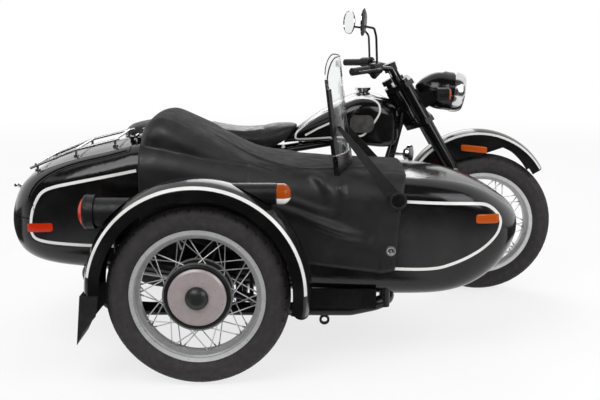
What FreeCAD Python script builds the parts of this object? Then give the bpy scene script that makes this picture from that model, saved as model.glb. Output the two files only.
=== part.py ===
"""Sidecar motorcycle: a flat-twin machine with a one-seat sidecar on its right, modelled in millimetres.

The design frame has +X forward, +Y to the rider's left and +Z up, with the rear axle over X 0 and the
motorcycle's middle plane at Y 0. write_parts() moves everything so that the origin lies on the ground under
the middle of the whole machine.
"""
import FreeCAD
import Part

import functools
import json
import math
import os

Vector = FreeCAD.Vector

# Overall layout
WHEELBASE = 1500.0
TRACK = 1140.0
SIDE_LEAD = 290.0
SEAT_GAP = 0.3
RUN_GAP = 0.3

# Wheels: all three are alike
TYRE_R = 330.0
TYRE_HALF = 53.0
RIM_R = 242.5
RIM_HALF = 38.0
RIM_SEAT_R = 226.0
RIM_WELL_R = 212.0
RIM_WELL_HALF = 15.0
RIM_WALL = 3.0
HUB_R = 104.0
HUB_FLANGE_R = 125.0
HUB_FLANGE_T = 5.0
HUB_FLANGE_HALF = 36.0
HUB_HALF = 50.0
AXLE_R = 10.0
SPOKE_R = 2.0
SPOKES_PER_FLANGE = 20
SPOKE_LEAN = 26.0
HUB_CAP_R = 41.0
HUB_CAP_DEEP = 26.0
DISC_R = 138.0
DISC_T = 5.0

# Front fork, along its rake
RAKE = 30.0
FORK_OFFSET = 62.0
LEG_HALF = 95.0
LEG_TOP = 790.0
COVER_R = 30.0
COVER_START = 330.0
SLIDER_R = 26.0
SLIDER_BOTTOM = -34.0
YOKE_T = 24.0
LOWER_YOKE = 560.0
UPPER_YOKE = 752.0
STEM_R = 13.0
HEAD_R = 30.0
HEAD_GAP = 1.0

# Front mudguard, carried by the lower yoke
GUARD_X = 1469.0
GUARD_Z = 421.0
GUARD_R = 356.0
GUARD_HALF = 64.0
GUARD_T = 3.0
GUARD_FRONT = 30.0
GUARD_REAR = 190.0
GUARD_ARM = 360.0

# Handlebar, in the design frame
BAR_R = 11.0
BAR_HALF = 372.0
GRIP_R = 16.5
GRIP_LENGTH = 118.0
CLAMP_LIFT = 40.0
CLAMP_AHEAD = 40.0
MIRROR_R = 58.0

# Headlamp
LAMP_R = 88.0
LAMP_X = 1344.0
LAMP_Z = 951.0
LAMP_DEEP = 168.0
LAMP_TILT = 8.0
BEZEL_DEEP = 52.0
BOSS_BACK = 52.0
FLASHER_R = 29.0

# Motorcycle frame
TUBE_R = 15.0
RAIL_Z = 190.0
RAIL_HALF = 105.0
TOP_RAIL_R = 13.0
TOP_RAIL_HALF = 60.0
SEAT_RAIL_Z = 682.0
TANK_REST_XS = (640.0, 840.0)
PIVOT_X = 375.0
LUG_T = 10.0

# Rear mudguard
REAR_GUARD_Z = TYRE_R - 4.0
REAR_GUARD_R = 362.0
REAR_GUARD_HALF = 78.0
GUARD_REST = 108.4

# Rear shocks
SHOCK_Y = 156.0
SHOCK_FOOT_Y = SHOCK_Y - 13.0 - SEAT_GAP

# Flat-twin engine
CRANK_X = 800.0
CRANK_Z = 395.0
CASE_HALF = 122.0
SHAFT_Z = 384.0
SUMP_HALF = RAIL_HALF - TUBE_R - SEAT_GAP
CYL_STAGGER = 19.0
BARREL_R = 48.0
FIN_HALF = 72.0
FIN_T = 3.5
FIN_PITCH = 13.0
BARREL_FINS = 9
HEAD_FINS = 5
ENGINE_HALF = 388.0

# Sidecar body
TUB_Y = -710.0
TUB_HALF = 275.0
TUB_WALL = 8.0
TUB_CROWN = 12.0
TUB_LOW_ROUND = 85.0
TUB_HIGH_ROUND = 92.0
COCKPIT_REAR = 130.0
COCKPIT_FRONT = 760.0
COCKPIT_HALF = 190.0
COVER_T = 4.0
COVER_REAR = 62.0
COVER_FRONT = 1044.0
BULKHEAD_X = 46.0
BULKHEAD_T = 6.0

# Sidecar windscreen
SCREEN_LOW = 772.0
SCREEN_HIGH = 1150.0
SCREEN_X = 848.0
SCREEN_LEAN = -0.12
SCREEN_HALF = 238.0
SCREEN_DEEP = 64.0
SCREEN_T = 4.0

# Trunk lid and its hinge
LID_FRONT = 24.0
LID_REAR = -446.0
LID_HALF = 236.0
LID_GAP = 3.0
LID_LOW = 560.0
HINGE_X = 31.0
HINGE_Z = 856.0
HINGE_R = 6.0
HINGE_SPREAD = 120.0
PIN_R = 3.0

# Sidecar mudguard
WING_X = 290.0
WING_Z = 348.0
WING_R = 404.0
WING_HALF = 84.0
WING_T = 3.0
WING_FRONT = -12.0
WING_REAR = 180.0
WING_SKIRT = 56.0
POST_SEAT_R = 365.0
TONGUE_HALF = 20.0

# Sidecar frame
SIDE_TUBE_R = 25.0
SIDE_TUBE_Y = -960.0
SIDE_TUBE_Z = 215.0
INNER_TUBE_Y = -470.0
CROSS_R = 20.0
POST_R = 8.0
POST_Y = -999.5
ARM_Y = -1033.0
PIVOT_R = 19.0
ARM_PIVOT_X = 655.0
ARM_PIVOT_Z = 232.0
ARM_R = 16.0
SHOCK_PLATE_Z = 640.0
EYE_X = 742.0
EYE_R = 10.5
EYE_WALL = 9.0
EYE_T = 11.0


def vec(x, y, z):
    """A vector, for short."""
    return Vector(float(x), float(y), float(z))


def polar(centre_x, centre_z, radius, degrees, y=0.0):
    """The point at that radius and angle from +X about a centre, in a plane of constant Y."""
    a = math.radians(degrees)
    return vec(centre_x + radius * math.cos(a), y, centre_z + radius * math.sin(a))


def rod(start, end, radius):
    """A round bar between two points."""
    return Part.makeCylinder(radius, (end - start).Length, start, end - start)


def box(x0, x1, y0, y1, z0, z1):
    """A box between limits."""
    return Part.makeBox(x1 - x0, y1 - y0, z1 - z0, vec(x0, y0, z0))


def fused(shapes):
    """One solid from overlapping shapes."""
    shape = shapes[0].multiFuse(shapes[1:]) if len(shapes) > 1 else shapes[0]
    shape = shape.removeSplitter()
    return shape.Solids[0] if len(shape.Solids) == 1 else shape


def mirrored(shape):
    """The shape on the other side of the motorcycle's middle plane."""
    return shape.mirror(vec(0, 0, 0), vec(0, 1, 0))


def both_sides(shape):
    """The shape and its mirror, apart."""
    return Part.Compound([shape, mirrored(shape)])


def route(points, bend):
    """A wire of straight runs joined by tangent arcs of the bend radius, smaller where the runs are short."""
    edges = []
    last = points[0]
    for before, corner, after in zip(points, points[1:], points[2:]):
        back = (before - corner).normalize()
        ahead = (after - corner).normalize()
        half = back.getAngle(ahead) / 2.0
        reach = min(bend / math.tan(half), 0.48 * min((before - corner).Length, (after - corner).Length))
        radius = reach * math.tan(half)
        start = corner + back * reach
        end = corner + ahead * reach
        centre = corner + (back + ahead).normalize() * (radius / math.sin(half))
        middle = centre + (corner - centre).normalize() * radius
        edges.append(Part.LineSegment(last, start).toShape())
        edges.append(Part.Arc(start, middle, end).toShape())
        last = end
    edges.append(Part.LineSegment(last, points[-1]).toShape())
    return Part.Wire(edges)


def bent_tube(points, radius, bend):
    """A round bar along a route."""
    if len(points) == 2:
        return rod(points[0], points[1], radius)
    path = route(points, bend)
    ring = Part.Wire(Part.Circle(points[0], points[1] - points[0], radius).toShape())
    return path.makePipeShell([ring], True, False)


def turned(outline, axis_point, axis=None, degrees=360.0):
    """A solid turned from a closed outline about an axis, which is along Y if none is given."""
    face = Part.Face(Part.Wire(outline))
    return face.revolve(axis_point, axis or vec(0, 1, 0), degrees)


def line_loop(points):
    """The edges of a closed polygon."""
    return [Part.LineSegment(a, b).toShape() for a, b in zip(points, points[1:] + points[:1])]


def plate(points, direction):
    """A flat plate: a closed polygon pushed along a direction."""
    return Part.Face(Part.Wire(line_loop(points))).extrude(direction)


def rounded_plate(y, thickness, x0, x1, z0, z1, radius):
    """A plate with round corners that lies across Y."""
    corners = [(x0, z0, 1, 1), (x1, z0, -1, 1), (x1, z1, -1, -1), (x0, z1, 1, -1)]
    edges = []
    ends = []
    for index, (x, z, sx, sz) in enumerate(corners):
        along_x = vec(x + sx * radius, y, z)
        along_z = vec(x, y, z + sz * radius)
        middle = vec(x + sx * radius * (1 - math.sqrt(0.5)), y, z + sz * radius * (1 - math.sqrt(0.5)))
        start, end = (along_z, along_x) if index % 2 == 0 else (along_x, along_z)
        edges.append(Part.Arc(start, middle, end).toShape())
        ends.append((start, end))
    loop = []
    for index, arc in enumerate(edges):
        loop.append(arc)
        loop.append(Part.LineSegment(ends[index][1], ends[(index + 1) % 4][0]).toShape())
    return Part.Face(Part.Wire(loop)).extrude(vec(0, thickness, 0))


def body_section(x, y_mid, half, low, high, low_round, high_round, crown):
    """A rounded section across X with a crowned top, for a lofted body."""
    room = 0.48 * (high - low - crown)
    low_round = min(low_round, 0.9 * half, room)
    high_round = min(high_round, 0.9 * half, room)
    cut = 1 - math.sqrt(0.5)
    right, left = y_mid - half, y_mid + half
    shoulder = high - crown
    points = {
        "bottom_right": vec(x, right + low_round, low),
        "bottom_left": vec(x, left - low_round, low),
        "low_left": vec(x, left, low + low_round),
        "low_left_mid": vec(x, left - cut * low_round, low + cut * low_round),
        "high_left": vec(x, left, shoulder - high_round),
        "high_left_mid": vec(x, left - cut * high_round, shoulder - cut * high_round),
        "top_left": vec(x, left - high_round, shoulder),
        "top_mid": vec(x, y_mid, high),
        "top_right": vec(x, right + high_round, shoulder),
        "high_right_mid": vec(x, right + cut * high_round, shoulder - cut * high_round),
        "high_right": vec(x, right, shoulder - high_round),
        "low_right": vec(x, right, low + low_round),
        "low_right_mid": vec(x, right + cut * low_round, low + cut * low_round),
    }
    line = [
        Part.LineSegment(points["bottom_right"], points["bottom_left"]),
        Part.Arc(points["bottom_left"], points["low_left_mid"], points["low_left"]),
        Part.LineSegment(points["low_left"], points["high_left"]),
        Part.Arc(points["high_left"], points["high_left_mid"], points["top_left"]),
        Part.Arc(points["top_left"], points["top_mid"], points["top_right"]),
        Part.Arc(points["top_right"], points["high_right_mid"], points["high_right"]),
        Part.LineSegment(points["high_right"], points["low_right"]),
        Part.Arc(points["low_right"], points["low_right_mid"], points["bottom_right"]),
    ]
    return Part.Wire([edge.toShape() for edge in line])


def between(table, x):
    """A value read from (x, value) pairs in rising x, on straight lines between them."""
    if x <= table[0][0]:
        return table[0][1]
    for (x0, v0), (x1, v1) in zip(table, table[1:]):
        if x <= x1:
            return v0 + (v1 - v0) * (x - x0) / (x1 - x0)
    return table[-1][1]


def band(profile, centre_x, centre_z, mid_y, start, end):
    """A mudguard band: a closed profile of (radius, offset in Y) points swept from one angle to another."""
    a = math.radians(start)
    out = vec(math.cos(a), 0, math.sin(a))
    middle = vec(centre_x, mid_y, centre_z)
    edges = []
    for piece in profile:
        points = [middle + out * r + vec(0, y, 0) for r, y in piece]
        edge = Part.LineSegment(*points) if len(points) == 2 else Part.Arc(*points)
        edges.append(edge.toShape())
    return Part.Face(Part.Wire(edges)).revolve(middle, vec(0, -1, 0), end - start)


def guard_profile(crown_r, edge_r, skirt_right, skirt_left, half, thick):
    """A thin mudguard profile: crowned top, round shoulders and a skirt each side."""
    inner = half - thick
    tuck = 0.35 * half
    return [
        [(skirt_right, -half), (edge_r - tuck * 0.3, -half)],
        [(edge_r - tuck * 0.3, -half), (edge_r, -half * 0.93), (edge_r + 6, -half * 0.8)],
        [(edge_r + 6, -half * 0.8), (crown_r, 0.0), (edge_r + 6, half * 0.8)],
        [(edge_r + 6, half * 0.8), (edge_r, half * 0.93), (edge_r - tuck * 0.3, half)],
        [(edge_r - tuck * 0.3, half), (skirt_left, half)],
        [(skirt_left, half), (skirt_left, inner)],
        [(skirt_left, inner), (edge_r - tuck * 0.3, inner)],
        [(edge_r - tuck * 0.3, inner), (edge_r - thick, inner * 0.93), (edge_r + 6 - thick, inner * 0.8)],
        [(edge_r + 6 - thick, inner * 0.8), (crown_r - thick, 0.0), (edge_r + 6 - thick, -inner * 0.8)],
        [(edge_r + 6 - thick, -inner * 0.8), (edge_r - thick, -inner * 0.93), (edge_r - tuck * 0.3, -inner)],
        [(edge_r - tuck * 0.3, -inner), (skirt_right, -inner)],
        [(skirt_right, -inner), (skirt_right, -half)],
    ]


# Wheels

def tyre():
    """The tyre about the Y axis: bead, bulged walls and a round crown."""
    bead = RIM_SEAT_R + SEAT_GAP
    wall = RIM_HALF - RIM_WALL - SEAT_GAP
    flank_r = RIM_R + 44.0
    shoulder_r = TYRE_R - 17.0
    shoulder_y = TYRE_HALF - 9.0
    edges = [
        Part.LineSegment(vec(bead, -wall, 0), vec(bead, wall, 0)),
        Part.LineSegment(vec(bead, wall, 0), vec(RIM_R + 2.0, wall, 0)),
        Part.Arc(vec(RIM_R + 2.0, wall, 0), vec(flank_r, TYRE_HALF, 0), vec(shoulder_r, shoulder_y, 0)),
        Part.Arc(vec(shoulder_r, shoulder_y, 0), vec(TYRE_R, 0, 0), vec(shoulder_r, -shoulder_y, 0)),
        Part.Arc(vec(shoulder_r, -shoulder_y, 0), vec(flank_r, -TYRE_HALF, 0), vec(RIM_R + 2.0, -wall, 0)),
        Part.LineSegment(vec(RIM_R + 2.0, -wall, 0), vec(bead, -wall, 0)),
    ]
    return turned([e.toShape() for e in edges], vec(0, 0, 0))


def rim():
    """The rolled rim: a flange each side, the bead seats and the well."""
    inner = RIM_HALF - RIM_WALL
    outer = [
        (RIM_R, -RIM_HALF), (RIM_R, -inner), (RIM_SEAT_R, -inner), (RIM_SEAT_R, -RIM_WELL_HALF - 4.0),
        (RIM_WELL_R, -RIM_WELL_HALF), (RIM_WELL_R, RIM_WELL_HALF), (RIM_SEAT_R, RIM_WELL_HALF + 4.0),
        (RIM_SEAT_R, inner), (RIM_R, inner), (RIM_R, RIM_HALF), (RIM_SEAT_R - RIM_WALL, RIM_HALF),
        (RIM_SEAT_R - RIM_WALL, RIM_WELL_HALF + 6.0), (RIM_WELL_R - RIM_WALL, RIM_WELL_HALF + 2.0),
        (RIM_WELL_R - RIM_WALL, -RIM_WELL_HALF - 2.0), (RIM_SEAT_R - RIM_WALL, -RIM_WELL_HALF - 6.0),
        (RIM_SEAT_R - RIM_WALL, -RIM_HALF),
    ]
    return turned(line_loop([vec(r, y, 0) for r, y in outer]), vec(0, 0, 0))


def hub(cap_side):
    """The full-width drum hub with its two spoke flanges, and the domed cap on the side that shows."""
    bore = AXLE_R + RUN_GAP
    flange_in = HUB_FLANGE_HALF - HUB_FLANGE_T
    waist = HUB_R - 9.0
    outline = [
        (bore, -HUB_HALF), (HUB_R - 8.0, -HUB_HALF), (HUB_R, -HUB_HALF + 6.0), (HUB_R, -HUB_FLANGE_HALF),
        (HUB_FLANGE_R, -HUB_FLANGE_HALF), (HUB_FLANGE_R, -flange_in), (waist, -flange_in + 6.0),
        (waist, flange_in - 6.0), (HUB_FLANGE_R, flange_in), (HUB_FLANGE_R, HUB_FLANGE_HALF),
        (HUB_R, HUB_FLANGE_HALF), (HUB_R, HUB_HALF - 6.0), (HUB_R - 8.0, HUB_HALF), (bore, HUB_HALF),
    ]
    drum = turned(line_loop([vec(r, y, 0) for r, y in outline]), vec(0, 0, 0))
    if not cap_side:
        return drum
    face = cap_side * HUB_HALF
    tip = face + cap_side * HUB_CAP_DEEP
    root = face - cap_side * 2.0
    dome = [
        Part.LineSegment(vec(0, root, 0), vec(HUB_CAP_R, root, 0)).toShape(),
        Part.LineSegment(vec(HUB_CAP_R, root, 0), vec(HUB_CAP_R, face + cap_side * 8.0, 0)).toShape(),
        Part.Arc(vec(HUB_CAP_R, face + cap_side * 8.0, 0), vec(HUB_CAP_R * 0.72, face + cap_side * 20.0, 0),
                 vec(6.0, tip, 0)).toShape(),
        Part.LineSegment(vec(6.0, tip, 0), vec(0, tip, 0)).toShape(),
        Part.LineSegment(vec(0, tip, 0), vec(0, root, 0)).toShape(),
    ]
    return drum.fuse(turned(dome, vec(0, 0, 0)))


def spokes():
    """Crossed spokes from each hub flange to the rim's well."""
    bars = []
    step = 360.0 / SPOKES_PER_FLANGE
    for side in (-1, 1):
        for index in range(SPOKES_PER_FLANGE):
            start = step * index + (step / 2.0 if side > 0 else 0.0)
            lean = SPOKE_LEAN if index % 2 == 0 else -SPOKE_LEAN
            inner = polar(0, 0, HUB_FLANGE_R - 6.0, start, side * (HUB_FLANGE_HALF - HUB_FLANGE_T / 2.0))
            outer = polar(0, 0, RIM_WELL_R - 1.0, start + lean, side * RIM_WELL_HALF * 0.4)
            bars.append(rod(inner, outer, SPOKE_R))
    return bars


def wire_wheel(cap_side=0):
    """Rim, spokes and hub as one solid."""
    return fused([rim(), hub(cap_side)] + spokes())


def brake_disc():
    """The front brake disc on its carrier, which joins the hub's left face."""
    inner = HUB_HALF - 2.0
    ring = Part.makeCylinder(DISC_R, DISC_T, vec(0, HUB_HALF + 4.0, 0), vec(0, 1, 0))
    window = Part.makeCylinder(DISC_R - 34.0, DISC_T + 2.0, vec(0, HUB_HALF + 3.0, 0), vec(0, 1, 0))
    carrier = Part.makeCylinder(DISC_R - 30.0, HUB_HALF + 4.0 + DISC_T - inner - 1.0, vec(0, inner, 0), vec(0, 1, 0))
    bore = Part.makeCylinder(AXLE_R + RUN_GAP, 40.0, vec(0, inner - 10.0, 0), vec(0, 1, 0))
    return ring.cut(window).fuse(carrier).cut(bore)


def placed(shape, x, y, z):
    """A copy moved to a place."""
    copy = shape.copy()
    copy.translate(vec(x, y, z))
    return copy


def wheels():
    """The three wheels, each a tyre and a wire wheel."""
    rubber = tyre()
    plain = wire_wheel()
    capped = wire_wheel(-1)
    braked = plain.fuse(brake_disc()).removeSplitter()
    return {
        "front_tyre": placed(rubber, WHEELBASE, 0, TYRE_R),
        "front_wire_wheel": placed(braked, WHEELBASE, 0, TYRE_R),
        "rear_tyre": placed(rubber, 0, 0, TYRE_R),
        "rear_wire_wheel": placed(plain, 0, 0, TYRE_R),
        "side_tyre": placed(rubber, SIDE_LEAD, -TRACK, TYRE_R),
        "side_wire_wheel": placed(capped, SIDE_LEAD, -TRACK, TYRE_R),
    }


# Front fork and what steers with it

def up_fork():
    """The unit direction up along the fork."""
    a = math.radians(RAKE)
    return vec(-math.sin(a), 0, math.cos(a))


def ahead_fork():
    """The unit direction square to the fork, forward and up."""
    a = math.radians(RAKE)
    return vec(math.cos(a), 0, math.sin(a))


def leg_point(along, side=0.0):
    """A point on a fork leg, by its distance up from the axle."""
    return vec(WHEELBASE, side * LEG_HALF, TYRE_R) + up_fork() * along


def steer_point(along):
    """A point on the steering axis, level with that place on the legs."""
    return leg_point(along) - ahead_fork() * FORK_OFFSET


def fork_legs():
    """Both telescopic legs with the front axle, and the brake caliper on the left one."""
    pieces = []
    for side in (-1, 1):
        slider = rod(leg_point(SLIDER_BOTTOM, side), leg_point(COVER_START + 40.0, side), SLIDER_R)
        cover = rod(leg_point(COVER_START, side), leg_point(LOWER_YOKE - SEAT_GAP, side), COVER_R)
        upper = rod(leg_point(LOWER_YOKE - SEAT_GAP, side), leg_point(LEG_TOP, side), SLIDER_R - 4.0)
        shroud = rod(leg_point(LOWER_YOKE + YOKE_T + SEAT_GAP, side), leg_point(UPPER_YOKE - SEAT_GAP, side), COVER_R)
        pieces += [slider, cover, upper, shroud]
    pieces.append(rod(vec(WHEELBASE, -LEG_HALF - 34.0, TYRE_R), vec(WHEELBASE, LEG_HALF + 34.0, TYRE_R), AXLE_R))
    caliper_mid = polar(WHEELBASE, TYRE_R, DISC_R, 130.0, HUB_HALF + 8.0)
    block = Part.makeBox(74.0, 36.0, 48.0, caliper_mid + vec(-37.0, -18.0, -24.0))
    block.rotate(caliper_mid, vec(0, 1, 0), -40.0)
    slot = Part.makeCylinder(DISC_R + 6.0, DISC_T + 9.0, vec(WHEELBASE, HUB_HALF - 0.5, TYRE_R), vec(0, 1, 0))
    pieces.append(block.cut(slot))
    return fused(pieces)


def yoke_plate(along):
    """One yoke: a plate that joins both legs and the steering stem."""
    out = LEG_HALF + COVER_R + 8.0
    stem = steer_point(along)
    leg = leg_point(along)
    back = (stem - leg).normalize()
    corners = [
        leg - back * 40.0 + vec(0, -out + 18.0, 0), leg - back * 40.0 + vec(0, out - 18.0, 0),
        leg + vec(0, out, 0), leg + back * 30.0 + vec(0, out - 12.0, 0),
        stem + back * 28.0 + vec(0, 22.0, 0), stem + back * 28.0 + vec(0, -22.0, 0),
        leg + back * 30.0 + vec(0, -out + 12.0, 0), leg + vec(0, -out, 0),
    ]
    flat = plate(corners, up_fork() * YOKE_T)
    for side in (-1, 1):
        hole = rod(leg_point(along - 5.0, side), leg_point(along + YOKE_T + 5.0, side), SLIDER_R - 4.0 + SEAT_GAP)
        flat = flat.cut(hole)
    return flat


def fork_yokes():
    """Lower and upper yoke on the steering stem, with the damper knob on top."""
    stem = rod(steer_point(LOWER_YOKE + 2.0), steer_point(UPPER_YOKE + YOKE_T + 16.0), STEM_R)
    knob = rod(steer_point(UPPER_YOKE + YOKE_T + 14.0), steer_point(UPPER_YOKE + YOKE_T + 36.0), 24.0)
    return fused([yoke_plate(LOWER_YOKE), yoke_plate(UPPER_YOKE), stem, knob])


def bar_route():
    """The handlebar's points from its middle to the left end."""
    clamp = steer_point(UPPER_YOKE + YOKE_T) + up_fork() * CLAMP_LIFT + ahead_fork() * CLAMP_AHEAD
    return [
        clamp, clamp + vec(0, 70.0, 0), vec(1048.0, 150.0, 1064.0), vec(990.0, 240.0, 1074.0),
        vec(868.0, BAR_HALF, 1066.0),
    ]


def handlebar():
    """The handlebar with its two clamp posts."""
    half = bar_route()
    other = [vec(p.x, -p.y, p.z) for p in half[:0:-1]]
    bar = bent_tube(other + half[1:], BAR_R, 60.0)
    posts = []
    for side in (-1, 1):
        foot = steer_point(UPPER_YOKE + YOKE_T + SEAT_GAP) + ahead_fork() * CLAMP_AHEAD + vec(0, side * 42.0, 0)
        posts.append(rod(foot, foot + up_fork() * CLAMP_LIFT, 14.0))
    return fused([bar] + posts)


def grip_axis(side):
    """Start and end of a grip on the bar."""
    points = bar_route()
    end = vec(points[-1].x, side * points[-1].y, points[-1].z)
    inner = vec(points[-2].x, side * points[-2].y, points[-2].z)
    along = (end - inner).normalize()
    return end - along * GRIP_LENGTH, end + along * 6.0


def grips():
    """Rubber grips that sleeve the bar's ends."""
    solids = []
    for side in (-1, 1):
        start, end = grip_axis(side)
        sleeve = rod(start, end, GRIP_R)
        flange = rod(start, start + (end - start).normalize() * 6.0, GRIP_R + 5.0)
        solids.append(sleeve.fuse(flange).cut(rod(start, end - (end - start).normalize() * 5.0, BAR_R + SEAT_GAP)))
    return Part.Compound(solids)


def controls():
    """Switch housings and hand levers, one set each side."""
    solids = []
    for side in (-1, 1):
        start, end = grip_axis(side)
        along = (end - start).normalize()
        inner = start - along * 58.0
        housing = rod(inner, start - along * 2.0, 25.0).fuse(
            rod(inner + vec(0, 0, -6.0), inner + along * 40.0 + vec(0, 0, -30.0), 17.0))
        pivot = inner + along * 20.0 + ahead_of(along, side) * 30.0
        lever = bent_tube([
            inner + along * 20.0, pivot, pivot + along * 60.0 + ahead_of(along, side) * 22.0,
            pivot + along * 178.0 + ahead_of(along, side) * 20.0], 6.5, 30.0)
        solids.append(fused([housing, lever]).cut(rod(inner - along * 5.0, end, BAR_R + SEAT_GAP)))
    return Part.Compound(solids)


def ahead_of(along, side):
    """The level direction square to a grip, towards the front."""
    flat = vec(along.x, along.y, 0).normalize()
    return vec(flat.y, -flat.x, 0) * side


def mirrors():
    """A round mirror on a bent stem each side, each turned towards the rider's eyes."""
    solids = []
    for side, head, facing in ((-1, vec(916.0, -335.0, 1272.0), vec(-0.98, 0.20, 0.05)),
                               (1, vec(884.0, 335.0, 1264.0), vec(-0.90, -0.44, 0.05))):
        facing = facing.normalize()
        start, end = grip_axis(side)
        foot = start - (end - start).normalize() * 44.0 + vec(0, 0, 25.0 + SEAT_GAP)
        back = head - facing * 4.0 + vec(0, 0, -18.0)
        rise = vec(foot.x - 5.0, foot.y, head.z - 62.0)
        elbow = (rise + back) * 0.5 + vec(14.0, 0, 14.0)
        stem = bent_tube([foot, rise, elbow, back], 5.0, 30.0)
        shell = Part.makeCone(MIRROR_R * 0.7, MIRROR_R, 7.0, head - facing * 5.0, facing)
        rim_ring = Part.makeCylinder(MIRROR_R, 4.0, head + facing * 2.0, facing)
        solids.append(fused([stem, shell, rim_ring]))
    return Part.Compound(solids)


def lamp_axis():
    """The headlamp's forward direction."""
    a = math.radians(LAMP_TILT)
    return vec(math.cos(a), 0, -math.sin(a))


def headlamp_shell():
    """The bowl of the headlamp with its two side ears, which reach the fork's shrouds."""
    ahead = lamp_axis()
    front = vec(LAMP_X, 0, LAMP_Z)
    up = vec(math.sin(math.radians(LAMP_TILT)), 0, math.cos(math.radians(LAMP_TILT)))
    profile = [
        Part.LineSegment(front, front + up * LAMP_R).toShape(),
        Part.LineSegment(front + up * LAMP_R, front + up * LAMP_R - ahead * 28.0).toShape(),
        Part.Arc(front + up * LAMP_R - ahead * 28.0, front + up * LAMP_R * 0.74 - ahead * LAMP_DEEP * 0.72,
                 front + up * 6.0 - ahead * LAMP_DEEP).toShape(),
        Part.LineSegment(front + up * 6.0 - ahead * LAMP_DEEP, front - ahead * LAMP_DEEP).toShape(),
        Part.LineSegment(front - ahead * LAMP_DEEP, front).toShape(),
    ]
    bowl = turned(profile, front, ahead)
    pieces = [bowl]
    for side in (-1, 1):
        near = leg_point(UPPER_YOKE - 90.0, side) + ahead_fork() * (COVER_R - 1.0)
        ear = plate([near + vec(0, -4.0, 0) + up_fork() * 40.0, near + vec(0, -4.0, 0) - up_fork() * 40.0,
                     front - ahead * 40.0 + vec(0, side * LEG_HALF - 4.0, -18.0),
                     front - ahead * 40.0 + vec(0, side * LEG_HALF - 4.0, 18.0)], vec(0, 8.0, 0))
        boss = rod(front - ahead * BOSS_BACK + vec(0, side * (LAMP_R - 22.0), 0),
                   front - ahead * BOSS_BACK + vec(0, side * (LEG_HALF + 5.0), 0), 12.0)
        legs_room = rod(leg_point(LOWER_YOKE, side), leg_point(LEG_TOP, side), COVER_R + SEAT_GAP)
        pieces += [ear.cut(legs_room), boss]
    return fused(pieces)


def headlamp_lens():
    """The deep bezel and its curved glass."""
    ahead = lamp_axis()
    back = vec(LAMP_X, 0, LAMP_Z) + ahead * SEAT_GAP
    up = vec(math.sin(math.radians(LAMP_TILT)), 0, math.cos(math.radians(LAMP_TILT)))
    profile = [
        Part.LineSegment(back, back + up * (LAMP_R + 4.0)).toShape(),
        Part.LineSegment(back + up * (LAMP_R + 4.0), back + up * (LAMP_R + 4.0) + ahead * 14.0).toShape(),
        Part.Arc(back + up * (LAMP_R + 4.0) + ahead * 14.0, back + up * (LAMP_R - 1.0) + ahead * (BEZEL_DEEP * 0.75),
                 back + up * (LAMP_R - 9.0) + ahead * BEZEL_DEEP).toShape(),
        Part.Arc(back + up * (LAMP_R - 9.0) + ahead * BEZEL_DEEP, back + up * (LAMP_R * 0.5) + ahead * (BEZEL_DEEP + 11.0),
                 back + up * 6.0 + ahead * (BEZEL_DEEP + 15.0)).toShape(),
        Part.LineSegment(back + up * 6.0 + ahead * (BEZEL_DEEP + 15.0), back + ahead * (BEZEL_DEEP + 15.0)).toShape(),
        Part.LineSegment(back + ahead * (BEZEL_DEEP + 15.0), back).toShape(),
    ]
    return turned(profile, back, ahead)


def speedometer():
    """A round instrument above the handlebar's clamps, on a stalk in front of the bar."""
    yoke_top = steer_point(UPPER_YOKE + YOKE_T)
    foot = yoke_top + ahead_fork() * (CLAMP_AHEAD + 22.0) + up_fork() * SEAT_GAP
    cup_foot = yoke_top + ahead_fork() * (CLAMP_AHEAD + 2.0) + up_fork() * (CLAMP_LIFT + BAR_R + 10.0)
    facing = vec(-0.35, 0, 0.94).normalize()
    return fused([rod(foot, foot + up_fork() * (CLAMP_LIFT + BAR_R + 16.0), 6.5),
                  rod(cup_foot, cup_foot + facing * 38.0, 30.0)])


def front_fender():
    """The valanced front mudguard, with its two brackets that bolt to the fork's covers."""
    profile = guard_profile(GUARD_R, GUARD_R - 16.0, GUARD_R - 58.0, GUARD_R - 58.0, GUARD_HALF, GUARD_T)
    pieces = [band(profile, GUARD_X, GUARD_Z, 0.0, GUARD_FRONT, GUARD_REAR)]
    for side in (-1, 1):
        y = side * (GUARD_HALF - GUARD_T / 2.0) - GUARD_T / 2.0
        outline = [polar(GUARD_X, GUARD_Z, GUARD_R - 50.0, a, y) for a in (66.0, 86.0, 106.0, 126.0, 146.0)]
        outline += [polar(GUARD_X, GUARD_Z, GUARD_R - 116.0, a, y) for a in (142.0, 116.0, 88.0)]
        pieces.append(plate(outline, vec(0, GUARD_T, 0)))
        leg = leg_point(GUARD_ARM, side)
        inner = vec(leg.x, side * (GUARD_HALF - GUARD_T), leg.z)
        outer = vec(leg.x, side * (LEG_HALF - 8.0), leg.z)
        room = rod(leg_point(GUARD_ARM - 60.0, side), leg_point(GUARD_ARM + 60.0, side), COVER_R + SEAT_GAP)
        pieces.append(rod(inner, outer, 13.0).cut(room))
    return fused(pieces)


def front_indicators():
    """Two round flashers on short stalks, one on each boss of the headlamp."""
    solids = []
    for side in (-1, 1):
        root = vec(LAMP_X, 0, LAMP_Z) - lamp_axis() * BOSS_BACK + vec(0, side * (LEG_HALF + 5.0 + SEAT_GAP), 0)
        middle = root + vec(-10.0, side * 52.0, -6.0)
        solids.append(fused([rod(root, root + vec(0, side * 34.0, 0), 7.0),
                             rod(middle + vec(-26.0, 0, 0), middle + vec(26.0, 0, 0), FLASHER_R)]))
    return Part.Compound(solids)


def fork_group():
    """Everything that steers, apart from the wheel."""
    return {
        "fork_legs": fork_legs(),
        "fork_yokes": fork_yokes(),
        "handlebar": handlebar(),
        "grips": grips(),
        "controls": controls(),
        "mirrors": mirrors(),
        "headlamp_shell": headlamp_shell(),
        "headlamp_lens": headlamp_lens(),
        "speedometer": speedometer(),
        "front_fender": front_fender(),
        "front_indicators": front_indicators(),
    }


# Motorcycle frame, engine and running gear

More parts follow.
